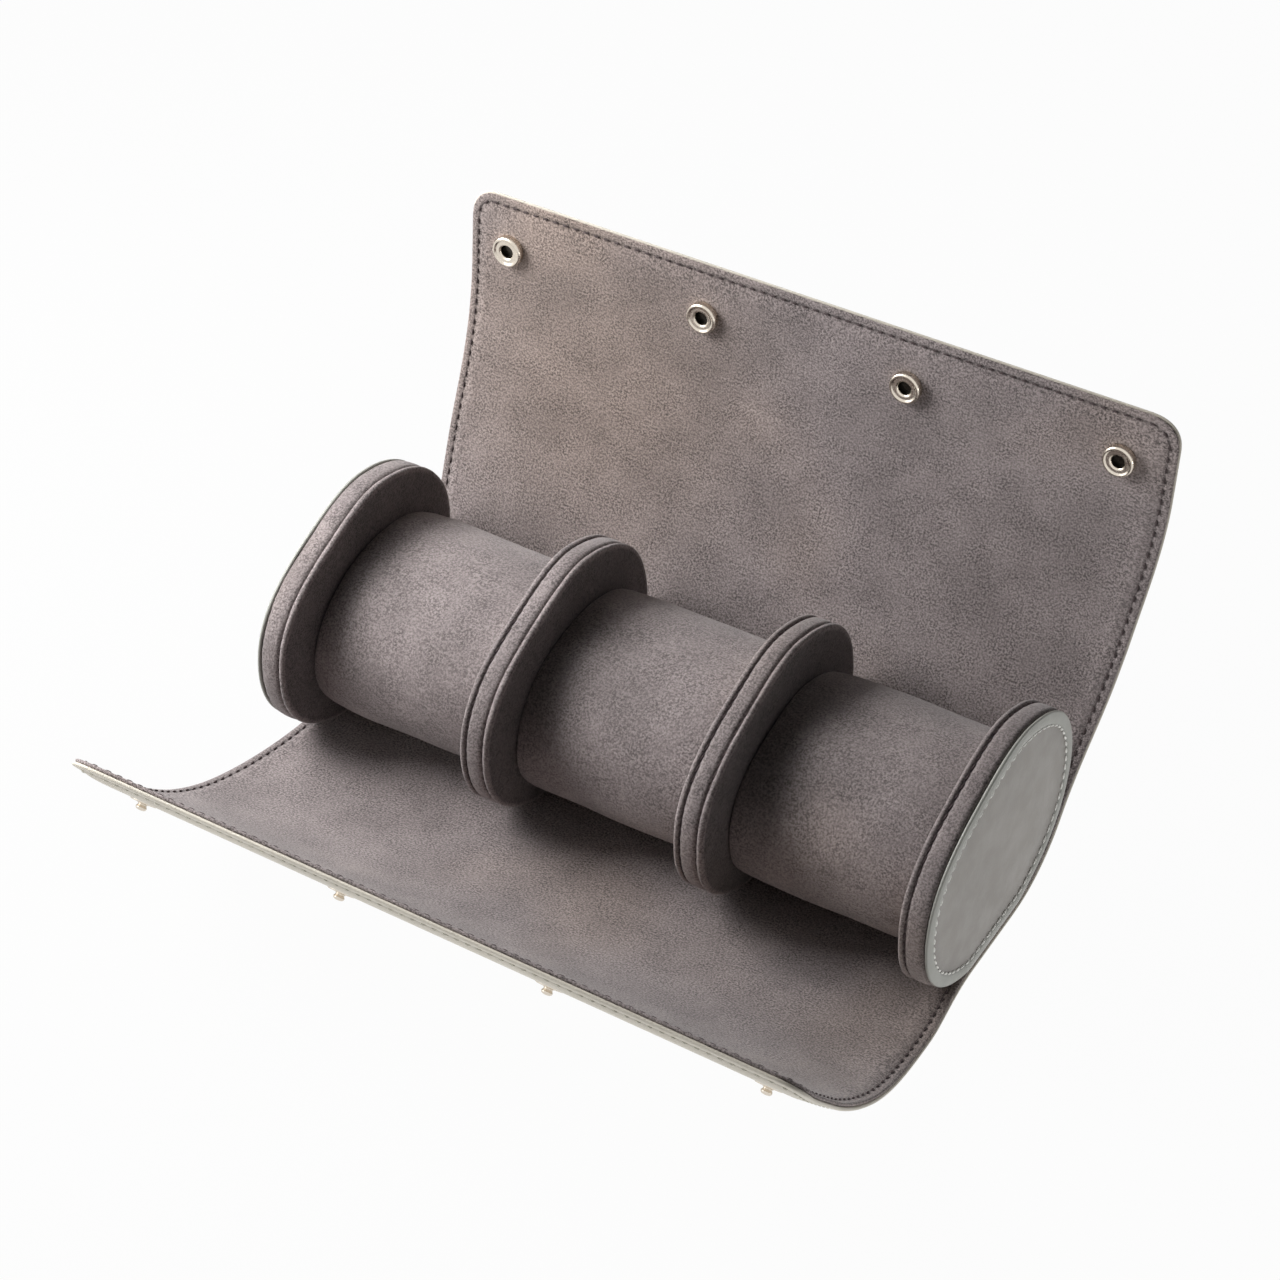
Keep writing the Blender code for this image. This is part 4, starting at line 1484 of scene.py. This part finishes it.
@dataclass
class Cushion:
    """One watch cushion: an oval foam roll in suede, its ends drawn in to their seams."""

    index: int
    row_half_length: float = 98.3 * MM
    divider_thickness: float = 8.4 * MM
    gaps: float = 0.3 * MM
    bays: int = 3
    half_width: float = 31.5 * MM
    half_height: float = 24.6 * MM
    centre_y: float = 3.5 * MM
    centre_z: float = 28.9 * MM
    draw_in: float = 0.8 * MM
    crown_power: float = 5.0
    corner: float = 1.1 * MM
    seam_depth: float = 0.35 * MM
    seam_width: float = 0.3 * MM
    seam_inset: float = 1.6 * MM
    # Painted shade on the seam rings at the drawn-in ends.
    seam_shade: float = 0.7
    lumps: float = 0.5 * MM
    seed_step: float = 11.0
    face_shares: tuple[float, ...] = (0.985, 0.8, 0.6, 0.4, 0.27)
    face_insets: tuple[float, ...] = (3.4 * MM, 2.6 * MM, 2.2 * MM)
    rings: int = 34

    def __post_init__(self) -> None:
        """Works out where along the roll the cushion lies."""
        pitch = (2 * self.row_half_length - self.divider_thickness) / self.bays
        self.length = pitch - self.divider_thickness - 2 * self.gaps
        self.centre = -self.row_half_length + self.divider_thickness / 2 + (self.index - 0.5) * pitch
        self.form = OvalForm(self.half_width, self.half_height, self.centre_y, self.centre_z, 0.0, around=160)

    def _profile(self) -> tuple[list[tuple[float, float]], list[float]]:
        """Draws the whole profile, from the left side's middle to the right side's.

        Returns:
            The rings' places and insets, and the painted shade of the seam's fold at each.
        """
        half = self.length / 2
        edge = self.draw_in
        face = [(-half, self.half_height * share) for share in self.face_shares]
        face += [(-half, edge + inset) for inset in self.face_insets]
        pressed = edge + self.seam_inset
        seam = [(self.seam_depth - half, pressed + self.seam_width), (-half, pressed)]
        corner = arc((-half + self.corner, edge + self.corner), self.corner, 180.0, 90.0, 7)
        left = face + seam + corner
        middle = []
        for index in range(1, self.rings):
            x = -half + self.corner + (self.length - 2 * self.corner) * index / self.rings
            middle.append((x, edge * abs(x / half) ** self.crown_power))
        right = [(-x, inset) for x, inset in reversed(left)]
        profile = left + middle + right
        # Painted shade on the two seam rings.
        seams = {len(face), len(profile) - 1 - len(face)}
        dark = [self.seam_shade if index in seams else 0.0 for index in range(len(profile))]
        return [(self.centre + x, inset) for x, inset in profile], dark

    def build(self) -> None:
        """Builds the cushion."""
        profile, dark = self._profile()
        name = f"cushion_{self.index}"
        shape = self.form.loft(profile, dark, self.lumps, self.seed_step * self.index)
        pad = finish_piece(f"{name}_pad", shape, PAD_SUEDE)
        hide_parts(f"{name}_sleeve", f"{name}_left_end", f"{name}_right_end", f"{name}_core")
        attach(pad, name)
        log.info("cushion %d: %s", self.index, pad.name)


# The snaps


@dataclass
class SnapRow:
    """The four snaps: sockets in the back flap's lining, and studs in the front flap's leather."""

    path: WrapPath
    count: int = 4
    end_x: float = 89.2 * MM
    socket_edge: float = 14.0 * MM
    stud_edge: float = 19.0 * MM
    steps: int = 48
    socket: tuple[tuple[float, float], ...] = (
        (0.0, 0.25), (1.0, 0.25), (1.75, 0.3), (1.85, 0.6), (1.8, 1.3), (1.9, 1.75), (2.15, 1.98),
        (2.5, 2.02), (2.9, 2.0), (3.2, 2.02), (3.42, 2.12), (3.6, 2.26), (3.82, 2.3), (4.1, 2.22),
        (4.3, 1.95), (4.4, 1.5), (4.38, 0.9), (4.3, 0.3), (4.3, 0.05))
    socket_floor: float = 0.05
    bore_radius: float = 1.87
    # The socket's bore is painted dark, as painted shade in the hole.
    bore_shade: float = 0.93
    weld: float = 0.005 * MM
    stud: tuple[tuple[float, float], ...] = (
        (0.0, 2.2), (0.5, 2.17), (1.0, 2.05), (1.3, 1.85), (1.46, 1.55), (1.45, 1.3), (1.3, 1.05),
        (1.15, 0.8), (1.2, 0.55), (1.6, 0.42), (2.4, 0.36), (3.0, 0.33), (3.35, 0.26), (3.55, 0.16),
        (3.6, 0.05))

    def _spun(
        self, profile: tuple[tuple[float, float], ...], place: Vector, up: Vector, floor: float
    ) -> bmesh.types.BMesh:
        """Turns a profile round a snap's axis.

        Args:
            profile: distance from the axis and height of each point, in millimetres.
            place: where the axis meets the surface.
            up: the axis, away from the surface.
            floor: the height of the hidden bottom, in millimetres.

        Returns:
            The closed bmesh.
        """
        shape = bmesh.new()
        dark = shape.verts.layers.float.new(PAINTED_SHADE)
        outline = [*profile, (profile[-1][0], floor), (0.0, floor)]
        verts = [shape.verts.new((radius * MM, 0.0, height * MM)) for radius, height in outline]
        edges = [shape.edges.new(pair) for pair in zip(verts, verts[1:])]
        turned = {"cent": (0, 0, 0), "axis": (0, 0, 1), "dvec": (0, 0, 0), "angle": math.tau}
        bmesh.ops.spin(shape, geom=verts + edges, steps=self.steps, use_merge=True, **turned)
        bmesh.ops.remove_doubles(shape, verts=shape.verts, dist=self.weld)
        bmesh.ops.recalc_face_normals(shape, faces=shape.faces)
        # Painted shade: the points inside the bore are painted dark.
        if profile is self.socket:
            for vert in shape.verts:
                inside = math.hypot(vert.co.x, vert.co.y) < self.bore_radius * MM
                vert[dark] = self.bore_shade if inside and vert.co.z > 0.1 * MM else 0.0
        turn = up.to_track_quat("Z", "X").to_matrix().to_4x4()
        bmesh.ops.transform(shape, matrix=Matrix.Translation(place) @ turn, verts=shape.verts)
        return shape

    def build(self) -> None:
        """Builds the eight snap halves."""
        socket_s = self.path.back_edge - self.socket_edge
        stud_s = self.path.front_edge + self.stud_edge
        for index in range(self.count):
            x = -self.end_x + 2 * self.end_x * index / (self.count - 1)
            up = self.path.inward(socket_s)
            shape = self._spun(self.socket, self.path.place(x, socket_s, 0.0), up, self.socket_floor)
            socket = finish_piece(f"snap_{index + 1}_socket", shape, NICKEL)
            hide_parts(f"snap_socket_{index + 1}")
            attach(socket, f"back_flap_{len(self.path.back_joints)}")
            down = -self.path.inward(stud_s)
            shape = self._spun(self.stud, self.path.place(x, stud_s, self.path.thickness), down, 0.0)
            stud = finish_piece(f"snap_{index + 1}_stud", shape, NICKEL)
            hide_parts(f"snap_stud_{self.count - index}")
            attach(stud, f"front_flap_{len(self.path.front_joints)}")
            log.info("snap %d", index + 1)


# The studio


@dataclass(frozen=True)
class Lamp:
    """One square area lamp: where it hangs, the length of its side and its power in watts."""

    name: str
    place: tuple[float, float, float]
    size: float
    power: float


@dataclass
class Studio:
    """A pale floor, soft lamps and the photograph's view."""

    distance: float = 923.5 * MM
    azimuth: float = 30.705
    elevation: float = 41.385
    focal: float = 3667.9
    frame_pixels: float = 1280.0
    sensor: float = 36.0
    target: tuple[float, float, float] = (-2.4 * MM, -5.9 * MM, 62.6 * MM)
    aim: tuple[float, float, float] = (0.0, 0.0, 0.04)
    lamps: tuple[Lamp, ...] = (
        Lamp("key_lamp", (-0.33, -0.11, 0.31), 0.20, 1.75),
        Lamp("high_lamp", (-0.20, -0.03, 0.33), 0.16, 0.2),
        Lamp("window_lamp", (-0.36, -0.32, 0.16), 0.25, 0.35),
        Lamp("back_lamp", (-0.35, 0.05, 0.25), 0.20, 0.75),
        Lamp("side_lamp", (0.7, 0.0, 0.05), 0.12, 0.4),
    )
    ambient: float = 0.032
    floor_size: float = 3.0
    floor_z: float = -0.2 * MM
    paper: tuple[float, float, float, float] = (0.32, 0.32, 0.32, 1.0)
    floor_glow: float = 0.9
    seen_glow: float = 0.07

    def _camera(self) -> None:
        """Places the camera at the photograph's view."""
        turn = math.radians(self.azimuth)
        up = math.radians(self.elevation)
        back = Vector((math.sin(turn) * math.cos(up), -math.cos(turn) * math.cos(up), math.sin(up)))
        camera = bpy.data.objects.new("camera", bpy.data.cameras.new("camera"))
        bpy.context.scene.collection.objects.link(camera)
        camera.data.sensor_width = self.sensor
        camera.data.lens = self.focal / self.frame_pixels * self.sensor
        camera.data.clip_start = 0.01
        camera.data.clip_end = 50.0
        camera.rotation_mode = "QUATERNION"
        camera.location = Vector(self.target) + back * self.distance
        camera.rotation_quaternion = (-back).to_track_quat("-Z", "Y")
        bpy.context.scene.camera = camera

    def _hang(self, lamp: Lamp) -> None:
        """Adds one lamp, turned to the middle of the roll.

        Args:
            lamp: the lamp.
        """
        data = bpy.data.lights.new(lamp.name, "AREA")
        data.shape = "SQUARE"
        data.size = lamp.size
        data.energy = lamp.power
        made = bpy.data.objects.new(lamp.name, data)
        bpy.context.scene.collection.objects.link(made)
        made.location = lamp.place
        made.rotation_mode = "QUATERNION"
        made.rotation_quaternion = (Vector(self.aim) - Vector(lamp.place)).to_track_quat("-Z", "Y")

    def _world(self) -> None:
        """Makes a world that is white to the eye and in metal, and dim as a light."""
        painter = Painter(bpy.data.worlds.new("studio_world"))
        seen = painter.add("ShaderNodeLightPath", output="Is Camera Ray")
        mirrored = painter.add("ShaderNodeLightPath", output="Is Glossy Ray")
        dim = painter.add("ShaderNodeBackground", {}, {"Strength": self.ambient})
        white = painter.add("ShaderNodeBackground", {}, {"Color": WHITE})
        shown = seen.maths("MAXIMUM", seen, mirrored)
        both = painter.add("ShaderNodeMixShader", {}, {0: shown, 1: dim, 2: white})
        bpy.context.scene.world = painter.close(both)

    def _floor(self) -> None:
        """Lays a pale floor that keeps the object's shadow."""
        shape = bmesh.new()
        bmesh.ops.create_grid(shape, x_segments=1, y_segments=1, size=self.floor_size)
        mesh = bpy.data.meshes.new("floor")
        shape.to_mesh(mesh)
        shape.free()
        floor = bpy.data.objects.new("floor", mesh)
        floor.location.z = self.floor_z
        bpy.context.scene.collection.objects.link(floor)
        painter = Painter(bpy.data.materials.new("floor_white"))
        seen = painter.add("ShaderNodeLightPath", output="Is Camera Ray")
        paper = painter.add("ShaderNodeBsdfDiffuse", {}, {"Color": self.paper})
        glow = painter.add("ShaderNodeEmission", {}, {"Color": WHITE, "Strength": 1.0})
        share = self.floor_glow + self.seen_glow * seen
        both = painter.add("ShaderNodeMixShader", {}, {0: share, 1: paper, 2: glow})
        mesh.materials.append(painter.close(both))

    def build(self) -> None:
        """Sets up the view, the light and the floor."""
        bpy.context.scene.view_settings.view_transform = "Standard"
        self._camera()
        self._world()
        self._floor()
        for lamp in self.lamps:
            self._hang(lamp)
        log.info("studio ready")


def dress_cad_nodes() -> None:
    """Gives the divider boards, which stay as the model has them, their material."""
    for name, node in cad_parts.items():
        if name.startswith("divider_") and name.endswith("_core"):
            node.data.materials.clear()
            node.data.materials.append(BOARD.material())
            log.info("board: %s", name)


def main() -> None:
    """Builds the pieces in order."""
    logging.basicConfig(level=logging.INFO, format="%(message)s")
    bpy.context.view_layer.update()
    path = WrapPath()
    Wrap(path).build()
    for index in range(1, Divider.count + 1):
        Divider(index).build()
    for index in range(1, Cushion.bays + 1):
        Cushion(index).build()
    SnapRow(path).build()
    dress_cad_nodes()
    Studio().build()


if __name__ == "__main__":
    main()
